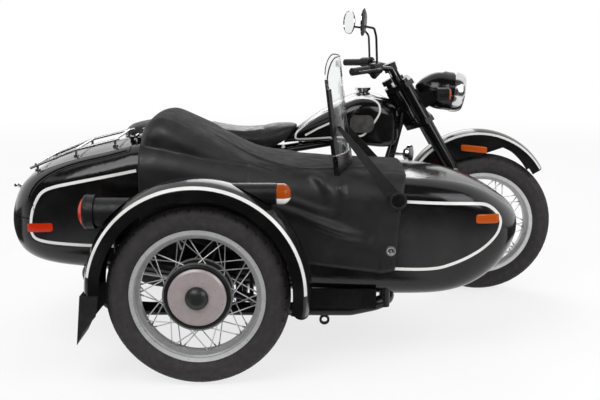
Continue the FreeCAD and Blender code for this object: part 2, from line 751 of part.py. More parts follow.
def cradle_tubes(side, grow=0.0):
    """The lower loop and the top rail of one side, grown for the seats of what clamps on them."""
    neck = steer_point(LOWER_YOKE + YOKE_T + 54.0)
    crown = steer_point(LOWER_YOKE + YOKE_T + 82.0)
    loop = [vec(neck.x - 8.0, side * 18.0, neck.z), vec(1030.0, side * RAIL_HALF * 0.8, 520.0),
            vec(1000.0, side * RAIL_HALF, RAIL_Z), vec(250.0, side * RAIL_HALF, RAIL_Z),
            vec(215.0, side * RAIL_HALF, 690.0)]
    top = [vec(crown.x - 6.0, side * 16.0, crown.z), vec(900.0, side * TOP_RAIL_HALF, 736.0),
           vec(560.0, side * TOP_RAIL_HALF, 680.0), vec(300.0, side * RAIL_HALF, SEAT_RAIL_Z),
           vec(-130.0, side * RAIL_HALF, SEAT_RAIL_Z)]
    return [bent_tube(loop, TUBE_R + grow, 70.0), bent_tube(top, TOP_RAIL_R + grow, 60.0)]


def tunnel_roof(x):
    """The height of the tank's tunnel over the top rails."""
    return between([(480.0, 694.0), (560.0, 699.0), (902.0, 762.0), (1112.0, 902.0)], x)


def bike_frame():
    """The double cradle: head tube, down tubes, lower rails, seat posts and top rails."""
    head_low = steer_point(LOWER_YOKE + YOKE_T + HEAD_GAP)
    head_high = steer_point(UPPER_YOKE - HEAD_GAP)
    bore = rod(steer_point(LOWER_YOKE), steer_point(UPPER_YOKE + YOKE_T), STEM_R + RUN_GAP)
    pieces = [rod(head_low, head_high, HEAD_R)] + cradle_tubes(-1) + cradle_tubes(1)
    cross_r = TUBE_R - 3.0
    guard_rest = polar(0.0, REAR_GUARD_Z, REAR_GUARD_R + SEAT_GAP + cross_r, GUARD_REST)
    for x, z, half in ((348.0, RAIL_Z, RAIL_HALF), (930.0, RAIL_Z, RAIL_HALF),
                       (guard_rest.x, guard_rest.z, RAIL_HALF), (560.0, 680.0, TOP_RAIL_HALF)):
        pieces.append(rod(vec(x, -half, z), vec(x, half, z), cross_r))
    for side in (-1, 1):
        lug_y = side * (RAIL_HALF - TUBE_R)
        pieces.append(box(225.0, PIVOT_X + 25.0, min(lug_y, lug_y + side * LUG_T), max(lug_y, lug_y + side * LUG_T),
                          TYRE_R - 30.0, TYRE_R + 30.0))
        for x in TANK_REST_XS:
            pieces.append(rod(vec(x, side * TOP_RAIL_HALF, tunnel_roof(x) - 16.0),
                              vec(x, side * TOP_RAIL_HALF, tunnel_roof(x - 9.0) - SEAT_GAP), 9.0))
    return fused(pieces).cut(bore)


def engine_case():
    """Crankcase with its round front cover, bell housing and gearbox."""
    case = rounded_plate(-CASE_HALF, 2 * CASE_HALF, CRANK_X - 120.0, CRANK_X + 130.0, 232.0, 520.0, 46.0)
    sump = rounded_plate(-SUMP_HALF, 2 * SUMP_HALF, CRANK_X - 95.0, CRANK_X + 105.0, 186.0, 260.0, 22.0)
    cover = Part.makeCylinder(88.0, 34.0, vec(CRANK_X + 128.0, 0, CRANK_Z), vec(1, 0, 0))
    nose = Part.makeCylinder(52.0, 22.0, vec(CRANK_X + 158.0, 0, CRANK_Z + 12.0), vec(1, 0, 0))
    bell = Part.makeCone(118.0, 96.0, 80.0, vec(CRANK_X - 118.0, 0, CRANK_Z - 8.0), vec(-1, 0, 0))
    gearbox = rounded_plate(-96.0, 192.0, 470.0, CRANK_X - 185.0, 268.0, 486.0, 40.0)
    output = Part.makeCylinder(28.0, 41.0, vec(474.0, -74.0, SHAFT_Z), vec(-1, 0, 0))
    generator = Part.makeCylinder(50.0, 190.0, vec(CRANK_X - 70.0, 0, 548.0), vec(1, 0, 0))
    return fused([case, sump, cover, nose, bell, gearbox, output, generator])


def one_cylinder(side):
    """A finned barrel and head with its rounded valve cover, out to one side."""
    x = CRANK_X + side * CYL_STAGGER
    start = CASE_HALF + SEAT_GAP
    head_start = start + BARREL_FINS * FIN_PITCH + 14.0
    head_end = head_start + HEAD_FINS * FIN_PITCH + 8.0
    pieces = [rod(vec(x, side * start, CRANK_Z), vec(x, side * head_start, CRANK_Z), BARREL_R)]
    for index in range(BARREL_FINS):
        y = start + 8.0 + index * FIN_PITCH
        low = side * y if side > 0 else side * y - FIN_T
        pieces.append(rounded_plate(low, FIN_T, x - FIN_HALF, x + FIN_HALF, CRANK_Z - FIN_HALF,
                                    CRANK_Z + FIN_HALF, 40.0))
    core_low = side * head_start if side > 0 else side * head_end
    pieces.append(rounded_plate(core_low, head_end - head_start, x - 58.0, x + 58.0, CRANK_Z - 54.0,
                                CRANK_Z + 54.0, 20.0))
    for index in range(HEAD_FINS):
        y = head_start + 6.0 + index * FIN_PITCH
        low = side * y if side > 0 else side * y - FIN_T
        pieces.append(rounded_plate(low, FIN_T, x - 78.0, x + 78.0, CRANK_Z - 66.0, CRANK_Z + 70.0, 26.0))
    cover_low = side * head_end if side > 0 else side * ENGINE_HALF
    cover = rounded_plate(cover_low, ENGINE_HALF - head_end, x - 66.0, x + 66.0, CRANK_Z - 56.0, CRANK_Z + 56.0, 30.0)
    outer_face = max if side > 0 else min
    rim_face = outer_face(cover.Faces, key=lambda f: f.CenterOfMass.y)
    pieces.append(cover.makeFillet(14.0, rim_face.Edges))
    return fused(pieces)


def cylinders():
    """Left and right cylinder."""
    return Part.Compound([one_cylinder(1), one_cylinder(-1)])


def intake():
    """A carburettor behind each cylinder head and the air filter box over the gearbox."""
    head_y = CASE_HALF + BARREL_FINS * FIN_PITCH + 46.0
    solids = []
    for side in (-1, 1):
        x = CRANK_X + side * CYL_STAGGER - 78.0 - SEAT_GAP
        tract = bent_tube([vec(x, side * head_y, CRANK_Z + 14.0), vec(x - 24.0, side * head_y, CRANK_Z + 14.0),
                           vec(x - 62.0, side * (head_y - 14.0), CRANK_Z + 22.0)], 20.0, 60.0)
        chamber = rod(vec(x - 48.0, side * (head_y - 10.0), CRANK_Z - 26.0),
                      vec(x - 48.0, side * (head_y - 10.0), CRANK_Z + 78.0), 27.0)
        elbow = bent_tube([vec(x - 60.0, side * (head_y - 14.0), CRANK_Z + 22.0),
                           vec(x - 130.0, side * (head_y - 24.0), CRANK_Z + 34.0),
                           vec(x - 150.0, side * 150.0, CRANK_Z + 150.0),
                           vec(x - 150.0, side * 70.0, CRANK_Z + 172.0)], 19.0, 50.0)
        solids.append(fused([tract, chamber, elbow]))
    filter_box = rounded_plate(-74.0, 148.0, 520.0, 672.0, 520.0, 640.0, 34.0)
    return fused(solids + [filter_box])


def exhaust_pipes():
    """Header, lower run and silencer on each side."""
    solids = []
    for side in (-1, 1):
        x = CRANK_X + side * CYL_STAGGER
        y = side * (CASE_HALF + BARREL_FINS * FIN_PITCH + 52.0)
        port = vec(x + 78.0 + SEAT_GAP, y, CRANK_Z - 22.0)
        pipe = bent_tube([port, vec(x + 136.0, y, CRANK_Z - 22.0), vec(x + 138.0, side * 240.0, 205.0),
                          vec(700.0, side * 205.0, 196.0), vec(330.0, side * 196.0, 210.0)], 20.0, 62.0)
        y_muffler = side * 196.0
        tail = 300.0
        outline = [(340.0, 0.0), (340.0, 21.0), (290.0, 44.0), (-tail + 60.0, 44.0), (-tail, 30.0),
                   (-tail - 30.0, 26.0), (-tail - 30.0, 0.0)]
        points = [vec(px, y_muffler, 210.0 + pr) for px, pr in outline]
        muffler = turned(line_loop(points), vec(0, y_muffler, 210.0), vec(1, 0, 0))
        bore = rod(vec(-tail - 31.0, y_muffler, 210.0), vec(-tail + 30.0, y_muffler, 210.0), 20.0)
        solids.append(fused([pipe, muffler]).cut(bore))
    return Part.Compound(solids)


def rear_swingarm():
    """The fork that carries the rear wheel, with its axle, final drive and drive shaft."""
    arm_half = 74.0
    pivot_half = RAIL_HALF - TUBE_R - SEAT_GAP
    pieces = [rod(vec(PIVOT_X, -pivot_half, TYRE_R), vec(PIVOT_X, pivot_half, TYRE_R), 22.0)]
    for side in (-1, 1):
        pieces.append(rod(vec(PIVOT_X, side * arm_half, TYRE_R), vec(10.0, side * arm_half, TYRE_R), 14.0))
        pieces.append(Part.makeCylinder(27.0, 30.0, vec(0, side * arm_half - 15.0, TYRE_R), vec(0, 1, 0)))
        pieces.append(rod(vec(24.0, side * arm_half, TYRE_R + 18.0), vec(24.0, side * SHOCK_FOOT_Y, TYRE_R + 18.0), 9.0))
    pieces.append(rod(vec(0, -arm_half - 50.0, TYRE_R), vec(0, arm_half + 30.0, TYRE_R), AXLE_R))
    drive = Part.makeCone(104.0, 112.0, 30.0, vec(0, -HUB_HALF - 6.0, TYRE_R), vec(0, -1, 0))
    drive_back = Part.makeCone(112.0, 66.0, 34.0, vec(0, -HUB_HALF - 36.0, TYRE_R), vec(0, -1, 0))
    pinion = rod(vec(60.0, -84.0, TYRE_R), vec(184.0, -74.0, TYRE_R + 14.0), 27.0)
    shaft = rod(vec(180.0, -74.0, TYRE_R + 13.0), vec(430.0, -74.0, SHAFT_Z - 1.0), 13.0)
    pieces += [drive, drive_back, pinion, shaft]
    return fused(pieces)


def shock_absorbers():
    """Two rear shocks of the motorcycle and the one of the sidecar wheel."""
    solids = []
    for side in (-1, 1):
        low = vec(24.0, side * SHOCK_Y, TYRE_R + 18.0)
        high = vec(70.0, side * SHOCK_Y, 676.0)
        along = (high - low).normalize()
        body = [rod(low, high, 10.0), rod(low + along * 40.0, low + along * 200.0, 27.0),
                rod(low + along * 150.0, high - along * 20.0, 32.0)]
        eye = Part.makeCylinder(17.0, 30.0 - 2 * SEAT_GAP, vec(high.x, high.y - 15.0 + SEAT_GAP, high.z), vec(0, 1, 0))
        foot = Part.makeCylinder(17.0, 26.0, vec(low.x, low.y - 13.0, low.z), vec(0, 1, 0))
        solids.append(fused(body + [eye, foot]))
    low = vec(SIDE_LEAD, ARM_Y, TYRE_R + 26.0 + SEAT_GAP)
    high = vec(SIDE_LEAD + 120.0, ARM_Y, SHOCK_PLATE_Z + 20.0)
    along = (high - low).normalize()
    side_shock = fused([rod(low - along * 10.0, high, 8.0), rod(low + along * 36.0, low + along * 150.0, 17.0),
                        rod(low + along * 110.0, high - along * 50.0, 19.0)])
    room = box(200.0, 600.0, -1100.0, -950.0, SHOCK_PLATE_Z - SEAT_GAP, 760.0)
    hub_room = rod(vec(SIDE_LEAD, -1100.0, TYRE_R), vec(SIDE_LEAD, -950.0, TYRE_R), 26.0 + SEAT_GAP)
    solids.append(side_shock.cut(room).cut(hub_room))
    return Part.Compound(solids)


def rear_fender():
    """The rear mudguard."""
    skirt_r = REAR_GUARD_R - 44.0
    profile = guard_profile(REAR_GUARD_R, REAR_GUARD_R - 16.0, skirt_r, skirt_r, REAR_GUARD_HALF, GUARD_T)
    return band(profile, 0.0, REAR_GUARD_Z, 0.0, 18.0, 192.0)


def rear_lamps():
    """Tail lamp and two flashers on the rear mudguard."""
    middle = polar(0.0, REAR_GUARD_Z, REAR_GUARD_R + SEAT_GAP, 158.0)
    lamp = rod(middle + vec(2.0, 0, 0), middle + vec(-46.0, 0, 8.0), 36.0)
    bar_y = 120.0
    bar = rod(middle + vec(-14.0, -bar_y, 6.0), middle + vec(-14.0, bar_y, 6.0), 7.0)
    room = Part.makeCylinder(REAR_GUARD_R + SEAT_GAP, 200.0, vec(0, -100.0, REAR_GUARD_Z), vec(0, 1, 0))
    pieces = [lamp, bar]
    for side in (-1, 1):
        out = middle + vec(-14.0, side * bar_y, 6.0)
        pieces.append(rod(out + vec(26.0, 0, 0), out + vec(-26.0, 0, 0), 29.0))
    return fused(pieces).cut(room)


def tank_shape(grow=0.0):
    """The teardrop tank lofted from front to rear, grown for pads if asked."""
    stations = [
        (1092.0, 66.0, 764.0, 870.0), (1074.0, 106.0, 716.0, 906.0), (1010.0, 138.0, 708.0, 936.0),
        (930.0, 150.0, 718.0, 950.0), (850.0, 142.0, 728.0, 926.0), (770.0, 120.0, 732.0, 882.0),
        (690.0, 92.0, 728.0, 832.0), (620.0, 66.0, 722.0, 782.0), (566.0, 44.0, 716.0, 744.0),
    ]
    wires = [body_section(x, 0.0, half + grow, low - grow, high + grow, 26.0, 62.0, 0.10 * half)
             for x, half, low, high in stations]
    return Part.makeLoft(wires, True, False)


def fuel_tank():
    """The tank, with a tunnel under it for the top rails."""
    half = TOP_RAIL_HALF + TUBE_R + 2.0
    roof = [vec(x, -half, tunnel_roof(x)) for x in (480.0, 560.0, 902.0, 1112.0, 1180.0)]
    tunnel = plate([vec(480.0, -half, 660.0)] + roof + [vec(1180.0, -half, 660.0)], vec(0, 2 * half, 0))
    head = rod(steer_point(LOWER_YOKE), steer_point(UPPER_YOKE + YOKE_T), HEAD_R + 5.0)
    return tank_shape().cut(tunnel).cut(head)


def fuel_cap():
    """The filler cap on top of the tank."""
    foot = vec(932.0, 0, 951.0)
    neck = Part.makeCylinder(30.0, 10.0, foot, vec(0, 0, 1))
    return fused([neck, Part.makeCylinder(38.0, 12.0, foot + vec(0, 0, 8.0), vec(0, 0, 1))])


def knee_pads():
    """Rubber pads on the tank's flanks."""
    skin = tank_shape(6.0).cut(tank_shape(SEAT_GAP))
    solids = []
    for side in (-1, 1):
        window = rounded_plate(min(side * 60.0, side * 200.0), 140.0, 868.0, 976.0, 778.0, 857.0, 30.0)
        solids.append(skin.common(window))
    return Part.Compound(solids)


def saddle():
    """The dual seat on the top rails: a pointed nose over the tank, a dip and a flat rear."""
    under = SEAT_RAIL_Z + TOP_RAIL_R
    stations = [
        (624.0, 20.0, 790.0, 805.0), (600.0, 58.0, 756.0, 811.0), (540.0, 92.0, 716.0, 800.0),
        (450.0, 118.0, under, 782.0), (340.0, 130.0, under, 780.0), (240.0, 134.0, under, 796.0),
        (140.0, 130.0, under, 812.0), (0.0, 122.0, under, 812.0), (-120.0, 108.0, under + 4.0, 806.0),
        (-160.0, 84.0, 712.0, 792.0), (-176.0, 56.0, 730.0, 772.0),
    ]
    wires = [body_section(x, 0.0, half, low, high, 20.0, 34.0, 6.0) for x, half, low, high in stations]
    seat = Part.makeLoft(wires, True, False)
    tank = tank_shape(SEAT_GAP)
    for room in [tank, placed(tank, -SEAT_GAP, 0, 0)] + cradle_tubes(-1, SEAT_GAP) + cradle_tubes(1, SEAT_GAP):
        seat = seat.cut(room)
    guard = Part.makeCylinder(REAR_GUARD_R + SEAT_GAP, 2 * REAR_GUARD_HALF, vec(0, -REAR_GUARD_HALF, REAR_GUARD_Z),
                              vec(0, 1, 0))
    return seat.cut(guard)


def side_covers():
    """Battery and tool boxes under the seat, one each side."""
    shell = rounded_plate(RAIL_HALF + TUBE_R + SEAT_GAP, 34.0, 205.0, 480.0, 470.0, 640.0, 34.0)
    outer = max(shell.Faces, key=lambda f: f.CenterOfMass.y)
    return both_sides(shell.makeFillet(12.0, outer.Edges))


def foot_controls():
    """Foot rests, brake pedal, gear pedal and kick starter."""
    solids = []
    for side in (-1, 1):
        y = side * (RAIL_HALF + TUBE_R + SEAT_GAP)
        rest = rod(vec(560.0, y, RAIL_Z + 64.0), vec(560.0, y + side * 120.0, RAIL_Z + 64.0), 14.0)
        lug = Part.makeBox(50.0, 12.0, 92.0, vec(535.0, y if side > 0 else y - 12.0, RAIL_Z - 14.0))
        solids.append(fused([rest, lug]))
    gear = bent_tube([vec(560.0, 96.0 + SEAT_GAP, 330.0), vec(560.0, 150.0, 330.0), vec(700.0, 168.0, 300.0),
                      vec(716.0, 226.0, 300.0)], 8.0, 16.0)
    brake = bent_tube([vec(620.0, -96.0 - SEAT_GAP, 330.0), vec(620.0, -150.0, 330.0), vec(720.0, -160.0, 300.0),
                       vec(732.0, -210.0, 300.0)], 8.0, 16.0)
    kick = bent_tube([vec(546.0, 96.0 + SEAT_GAP, 420.0), vec(546.0, 168.0, 420.0), vec(508.0, 176.0, 540.0),
                      vec(506.0, 232.0, 546.0)], 9.0, 18.0)
    return Part.Compound(solids + [gear, brake, kick])


def horn():
    """The horn on a bracket that clamps on the right down tube."""
    middle = vec(1143.0, -60.0, 666.0)
    facing = vec(0.9, -0.4, 0).normalize()
    disc = Part.makeCylinder(43.0, 14.0, middle, facing)
    bowl = Part.makeCone(24.0, 40.0, 18.0, middle - facing * 18.0, facing)
    bracket = rod(middle, vec(1071.0, -56.0, 666.0), 8.0).cut(cradle_tubes(-1, SEAT_GAP)[0])
    return fused([disc, bowl, bracket])


def motorcycle_group():
    """The motorcycle's fixed pieces."""
    return {
        "bike_frame": bike_frame(),
        "engine_case": engine_case(),
        "cylinders": cylinders(),
        "intake": intake(),
        "exhaust_pipes": exhaust_pipes(),
        "rear_swingarm": rear_swingarm(),
        "shock_absorbers": shock_absorbers(),
        "rear_fender": rear_fender(),
        "rear_lamps": rear_lamps(),
        "fuel_tank": fuel_tank(),
        "fuel_cap": fuel_cap(),
        "knee_pads": knee_pads(),
        "saddle": saddle(),
        "side_covers": side_covers(),
        "foot_controls": foot_controls(),
        "horn": horn(),
    }


# Sidecar

TUB_STATIONS = [
    (-482.0, 26.0, 492.0, 532.0), (-475.0, 72.0, 461.0, 578.0), (-454.0, 130.0, 432.0, 628.0),
    (-416.0, 186.0, 408.0, 682.0), (-360.0, 230.0, 390.0, 726.0), (-280.0, 260.0, 377.0, 762.0),
    (-160.0, 274.0, 366.0, 798.0), (-40.0, 275.0, 350.0, 826.0), (50.0, 275.0, 335.0, 847.0),
    (200.0, 275.0, 312.0, 832.0), (360.0, 275.0, 296.0, 796.0), (520.0, 275.0, 284.0, 764.0),
    (700.0, 275.0, 274.0, 744.0), (900.0, 275.0, 265.0, 733.0), (1080.0, 274.0, 263.0, 725.0),
    (1190.0, 266.0, 268.0, 712.0), (1280.0, 247.0, 286.0, 692.0), (1360.0, 213.0, 320.0, 658.0),
    (1424.0, 172.0, 364.0, 618.0), (1466.0, 126.0, 410.0, 584.0), (1489.0, 78.0, 448.0, 554.0),
    (1499.0, 30.0, 478.0, 524.0),
]

HUMP_STATIONS = [
    (62.0, 206.0, 700.0, 874.0), (76.0, 226.0, 700.0, 908.0), (105.0, 236.0, 700.0, 930.0),
    (140.0, 238.0, 700.0, 938.0), (175.0, 240.0, 700.0, 928.0), (215.0, 240.0, 700.0, 910.0),
    (275.0, 240.0, 700.0, 882.0), (335.0, 238.0, 700.0, 850.0), (395.0, 234.0, 700.0, 817.0),
    (470.0, 228.0, 700.0, 783.0), (560.0, 220.0, 690.0, 764.0), (650.0, 210.0, 680.0, 750.0),
    (720.0, 190.0, 670.0, 742.0),
]


@functools.lru_cache(maxsize=None)
def tub_loft(grow):
    """The sidecar body as a closed volume, grown or shrunk all round."""
    first, last = TUB_STATIONS[0][0], TUB_STATIONS[-1][0]
    middle = (first + last) / 2.0
    factor = (last - first + 2.0 * grow) / (last - first)
    wires = []
    for x, half, low, high in TUB_STATIONS:
        crown = min(TUB_CROWN, 0.12 * half)
        wires.append(body_section(middle + (x - middle) * factor, TUB_Y, half + grow, low - grow, high + grow,
                                  TUB_LOW_ROUND + grow, TUB_HIGH_ROUND + grow, crown))
    return Part.makeLoft(wires, True, False)


def hump_loft(grow):
    """The raised part of the cockpit cover, where the seat back holds it up."""
    first, last = HUMP_STATIONS[0][0], HUMP_STATIONS[-1][0]
    middle = (first + last) / 2.0
    factor = (last - first + 2.0 * grow) / (last - first)
    wires = [body_section(middle + (x - middle) * factor, TUB_Y, half + grow, low - grow, high + grow,
                          30.0, 70.0 + grow, 10.0) for x, half, low, high in HUMP_STATIONS]
    return Part.makeLoft(wires, True, False)


@functools.lru_cache(maxsize=None)
def tub_skin():
    """The body's skin before it is parted into body and lid."""
    return tub_loft(0.0).cut(tub_loft(-TUB_WALL))


def tub_shell():
    """The hollow body with the bulkhead between trunk and cockpit."""
    shell = tub_skin()
    wall = box(BULKHEAD_X, BULKHEAD_X + BULKHEAD_T, TUB_Y - 400.0, TUB_Y + 400.0, 200.0, 950.0)
    return shell.fuse(wall.common(tub_loft(-1.0)))


def lid_region(grow):
    """The volume that parts the lid from the body, grown by the gap for the body's side of the cut."""
    return rounded_column(LID_REAR - grow, LID_FRONT + grow, LID_HALF + grow, LID_LOW - grow, 1000.0, 60.0)


def rounded_column(x0, x1, half, z0, z1, radius):
    """An upright column about the body's middle plane with round corners at its rear."""
    column = box(x0, x1, TUB_Y - half, TUB_Y + half, z0, z1)
    rear = [e for e in column.Edges if abs(e.Vertexes[0].X - x0) < 0.01 and abs(e.Vertexes[1].X - x0) < 0.01
            and abs(e.Vertexes[0].Y - e.Vertexes[1].Y) < 0.01]
    return column.makeFillet(radius, rear)


def sidecar_body():
    """The body without its lid: cockpit opening in the deck, hinge leaves behind it."""
    shell = tub_shell()
    cockpit = box(COCKPIT_REAR, COCKPIT_FRONT, TUB_Y - COCKPIT_HALF, TUB_Y + COCKPIT_HALF, 600.0, 1000.0)
    upright = [e for e in cockpit.Edges if abs(e.Vertexes[0].Z - e.Vertexes[1].Z) > 1.0]
    shell = shell.cut(cockpit.makeFillet(80.0, upright)).cut(lid_region(LID_GAP))
    pieces = [shell]
    for side in (-1, 1):
        for shift in (-22.0, 22.0):
            y = TUB_Y + side * HINGE_SPREAD + shift
            pieces.append(knuckle(y, 14.0, 1))
    return fused(pieces)


def knuckle(y, length, away):
    """One hinge knuckle about the hinge axis, with its leaf forward (away 1) or backward (away -1)."""
    barrel = Part.makeCylinder(HINGE_R, length, vec(HINGE_X, y - length / 2.0, HINGE_Z), vec(0, 1, 0))
    bore = Part.makeCylinder(PIN_R + RUN_GAP, length + 2.0, vec(HINGE_X, y - length / 2.0 - 1.0, HINGE_Z), vec(0, 1, 0))
    leaf = [box(min(HINGE_X + away * near, HINGE_X + away * 22.0), max(HINGE_X + away * near, HINGE_X + away * 22.0),
                y - length / 2.0, y + length / 2.0, HINGE_Z - drop, HINGE_Z - 1.5)
            for near, drop in ((0.0, HINGE_R), (7.0, 24.0))]
    return barrel.fuse(leaf).cut(bore)


def trunk_lid():
    """The lid cut from the body's own skin, with its middle knuckles."""
    skin = tub_skin().common(lid_region(0.0))
    pieces = [skin]
    for side in (-1, 1):
        pieces.append(knuckle(TUB_Y + side * HINGE_SPREAD, 29.0, -1))
    return fused(pieces)


def hinge_pins():
    """The two pins of the lid's hinges."""
    return Part.Compound([Part.makeCylinder(PIN_R, 62.0, vec(HINGE_X, TUB_Y + side * HINGE_SPREAD - 31.0, HINGE_Z),
                                            vec(0, 1, 0)) for side in (-1, 1)])


def lid_height(x):
    """The height of the body's crown at a place along it."""
    return between([(s[0], s[3]) for s in TUB_STATIONS], x)


def luggage_rack():
    """Rails and cross bars on the lid, on short feet."""
    pieces = []
    lift = 26.0
    half = 150.0
    places = (-350.0, -200.0, -50.0)
    for side in (-1, 1):
        line = [vec(x, TUB_Y + side * half, lid_height(x) + lift - 6.0) for x in (-372.0, -200.0, -30.0)]
        pieces.append(bent_tube(line, 5.0, 200.0))
        for x in places:
            foot = vec(x, TUB_Y + side * (half - 20.0), lid_height(x) + lift - 6.0)
            pieces.append(rod(foot + vec(0, 0, -24.0), foot, 5.0))
            pieces.append(rod(foot + vec(0, 0, -29.0), foot + vec(0, 0, -20.0), 11.0))
    for x in places:
        z = lid_height(x) + lift - 6.0
        pieces.append(rod(vec(x, TUB_Y - half, z), vec(x, TUB_Y + half, z), 5.0))
    return fused(pieces).cut(tub_loft(SEAT_GAP))


def lid_latch():
    """The turn handle on the tail that holds the lid."""
    foot = vec(-452.0, TUB_Y, 630.0)
    out = vec(-0.8, 0, 0.6)
    knob = rod(foot - out * 12.0, foot + out * 30.0, 9.0)
    bar = rod(foot + out * 28.0 + vec(0, -26.0, 0), foot + out * 28.0 + vec(0, 26.0, 0), 6.0)
    return fused([knob, bar]).cut(tub_loft(SEAT_GAP))


def tonneau_cover():
    """The cockpit cover: laid over the body, raised by the seat back, with a skirt down the outer side."""
    outside = tub_loft(SEAT_GAP + COVER_T).fuse(hump_loft(0.0))
    inside = tub_loft(SEAT_GAP).fuse(hump_loft(-COVER_T))
    top = box(COVER_REAR, COVER_FRONT, TUB_Y - 240.0, TUB_Y + 400.0, 640.0, 1000.0)
    hem = [(COVER_REAR, 560.0), (300.0, 470.0), (650.0, 404.0), (944.0, 366.0), (1001.0, 378.0)]
    edge = [(1017.0, 585.0), (COVER_FRONT, 765.0), (COVER_FRONT, 1000.0)]
    skirt = plate([vec(COVER_REAR, -1100.0, 1000.0)] + [vec(x, -1100.0, z) for x, z in hem + edge], vec(0, 200.0, 0))
    return outside.cut(inside).common(top.fuse(skirt))


def screen_sheet(grow):
    """The curved screen sheet, thickened and lowered by a gap for the slot it stands in."""
    low = SCREEN_LOW - grow
    height = SCREEN_HIGH - low
    middle = vec(SCREEN_X - SCREEN_LEAN * grow, TUB_Y, low)
    half = SCREEN_HALF + grow
    arc = []
    for shift in (grow, -SCREEN_T - grow):
        arc.append([middle + vec(shift - SCREEN_DEEP, -half, 0), middle + vec(shift, 0, 0),
                    middle + vec(shift - SCREEN_DEEP, half, 0)])
    loop = [Part.Arc(*arc[0]).toShape(), Part.LineSegment(arc[0][2], arc[1][2]).toShape(),
            Part.Arc(*arc[1][::-1]).toShape(), Part.LineSegment(arc[1][0], arc[0][0]).toShape()]
    return Part.Face(Part.Wire(loop)).extrude(vec(SCREEN_LEAN * height, 0, height))


def windscreen():
    """The curved clear screen that stands on the cover."""
    window = Part.makeBox(400.0, 2 * SCREEN_HALF, SCREEN_HIGH - SCREEN_LOW, vec(600.0, TUB_Y - SCREEN_HALF, SCREEN_LOW))
    corners = [e for e in window.Edges if abs(e.Vertexes[0].Z - SCREEN_HIGH) < 0.01
               and abs(e.Vertexes[1].Z - SCREEN_HIGH) < 0.01 and abs(e.Vertexes[0].Y - e.Vertexes[1].Y) < 0.01]
    return screen_sheet(0.0).common(window.makeFillet(110.0, corners))


def windscreen_frame():
    """The base strip of the screen and its two flat straps down to the round brackets on the body's flanks."""
    half = 232.0
    depth = 60.0
    on_cover = TUB_HALF + 2 * SEAT_GAP + COVER_T
    foot = tub_loft(on_cover - TUB_HALF)
    base = vec(855.0, TUB_Y, 700.0)
    arc = [[base + vec(s - depth, -half, 0), base + vec(s, 0, 0), base + vec(s - depth, half, 0)] for s in (3.0, -16.0)]
    loop = [Part.Arc(*arc[0]).toShape(), Part.LineSegment(arc[0][2], arc[1][2]).toShape(),
            Part.Arc(*arc[1][::-1]).toShape(), Part.LineSegment(arc[1][0], arc[0][0]).toShape()]
    strip = Part.Face(Part.Wire(loop)).extrude(vec(-10.0, 0, 94.0))
    pieces = [strip]
    across = vec(0.77, 0, 0.64) * 6.0
    for side in (-1, 1):
        flank = TUB_Y + side * on_cover
        bracket = rod(vec(1008.0, flank, 640.0), vec(1008.0, flank + side * 11.0, 640.0), 32.0)
        bolt = rod(vec(1008.0, flank, 640.0), vec(1008.0, flank + side * 17.0, 640.0), 9.0)
        places = [vec(1008.0, flank + side * 1.5, 640.0), vec(966.0, flank + side * 1.5, 692.0),
                  vec(790.0, TUB_Y + side * 205.0, 902.0)]
        ends = [Part.makePolygon([p + across + t, p + across - t, p - across - t, p - across + t, p + across + t])
                for p in places for t in [vec(0, 1.5, 0)]]
        pieces += [Part.makeLoft(list(pair), True, True) for pair in zip(ends, ends[1:])]
        pieces += [bracket, bolt]
    return fused(pieces).cut(foot).cut(screen_sheet(SEAT_GAP))


def side_fender():
    """The sidecar wheel's mudguard with its streamlined lamp housing on top and lamp bracket behind."""
    profile = guard_profile(WING_R, WING_R - 20.0, WING_R - WING_SKIRT - 10.0, WING_R - WING_SKIRT, WING_HALF, WING_T)
    return band(profile, WING_X, WING_Z, -TRACK, WING_FRONT, WING_REAR)


def mud_flap():
    """The rubber flap below the mudguard's rear end: a tapering channel with a tongue inside the guard."""
    wall = 6.0
    top = WING_Z - SEAT_GAP
    back = WING_X - WING_R
    outline = [(back, top), (back + WING_SKIRT + 8.0, top), (-61.0, 273.0), (-109.0, 214.0), (-132.0, 167.0)]
    outer = plate([vec(x, -TRACK - WING_HALF, z) for x, z in outline], vec(0, 2 * WING_HALF, 0))
    hollow = [(back + wall, top), (back + wall, top + 20.0), (0.0, top + 20.0), (0.0, 150.0), (-132.0 + wall, 150.0),
              (-132.0 + wall, 167.0)]
    half = WING_HALF - wall
    inner = plate([vec(x, -TRACK - half, z) for x, z in hollow], vec(0, 2 * half, 0))
    tongue_r = WING_R - WING_T - 1.6
    tongue = band([[(tongue_r - 3.0, -TONGUE_HALF), (tongue_r, -TONGUE_HALF)],
                   [(tongue_r, -TONGUE_HALF), (tongue_r, TONGUE_HALF)],
                   [(tongue_r, TONGUE_HALF), (tongue_r - 3.0, TONGUE_HALF)],
                   [(tongue_r - 3.0, TONGUE_HALF), (tongue_r - 3.0, -TONGUE_HALF)]],
                  WING_X, WING_Z, -TRACK, 172.0, 181.0)
    return fused([outer.cut(inner), tongue])


def lamp_turned(outline, centre_z):
    """A lamp turned about a level axis over the sidecar wheel, from (x, radius) points; a third point bows a run."""
    edges = []
    for run in outline:
        points = [vec(x, -TRACK, centre_z + r) for x, r in run]
        edge = Part.LineSegment(*points) if len(points) == 2 else Part.Arc(*points)
        edges.append(edge.toShape())
    return turned(edges, vec(0, -TRACK, centre_z), vec(1, 0, 0))


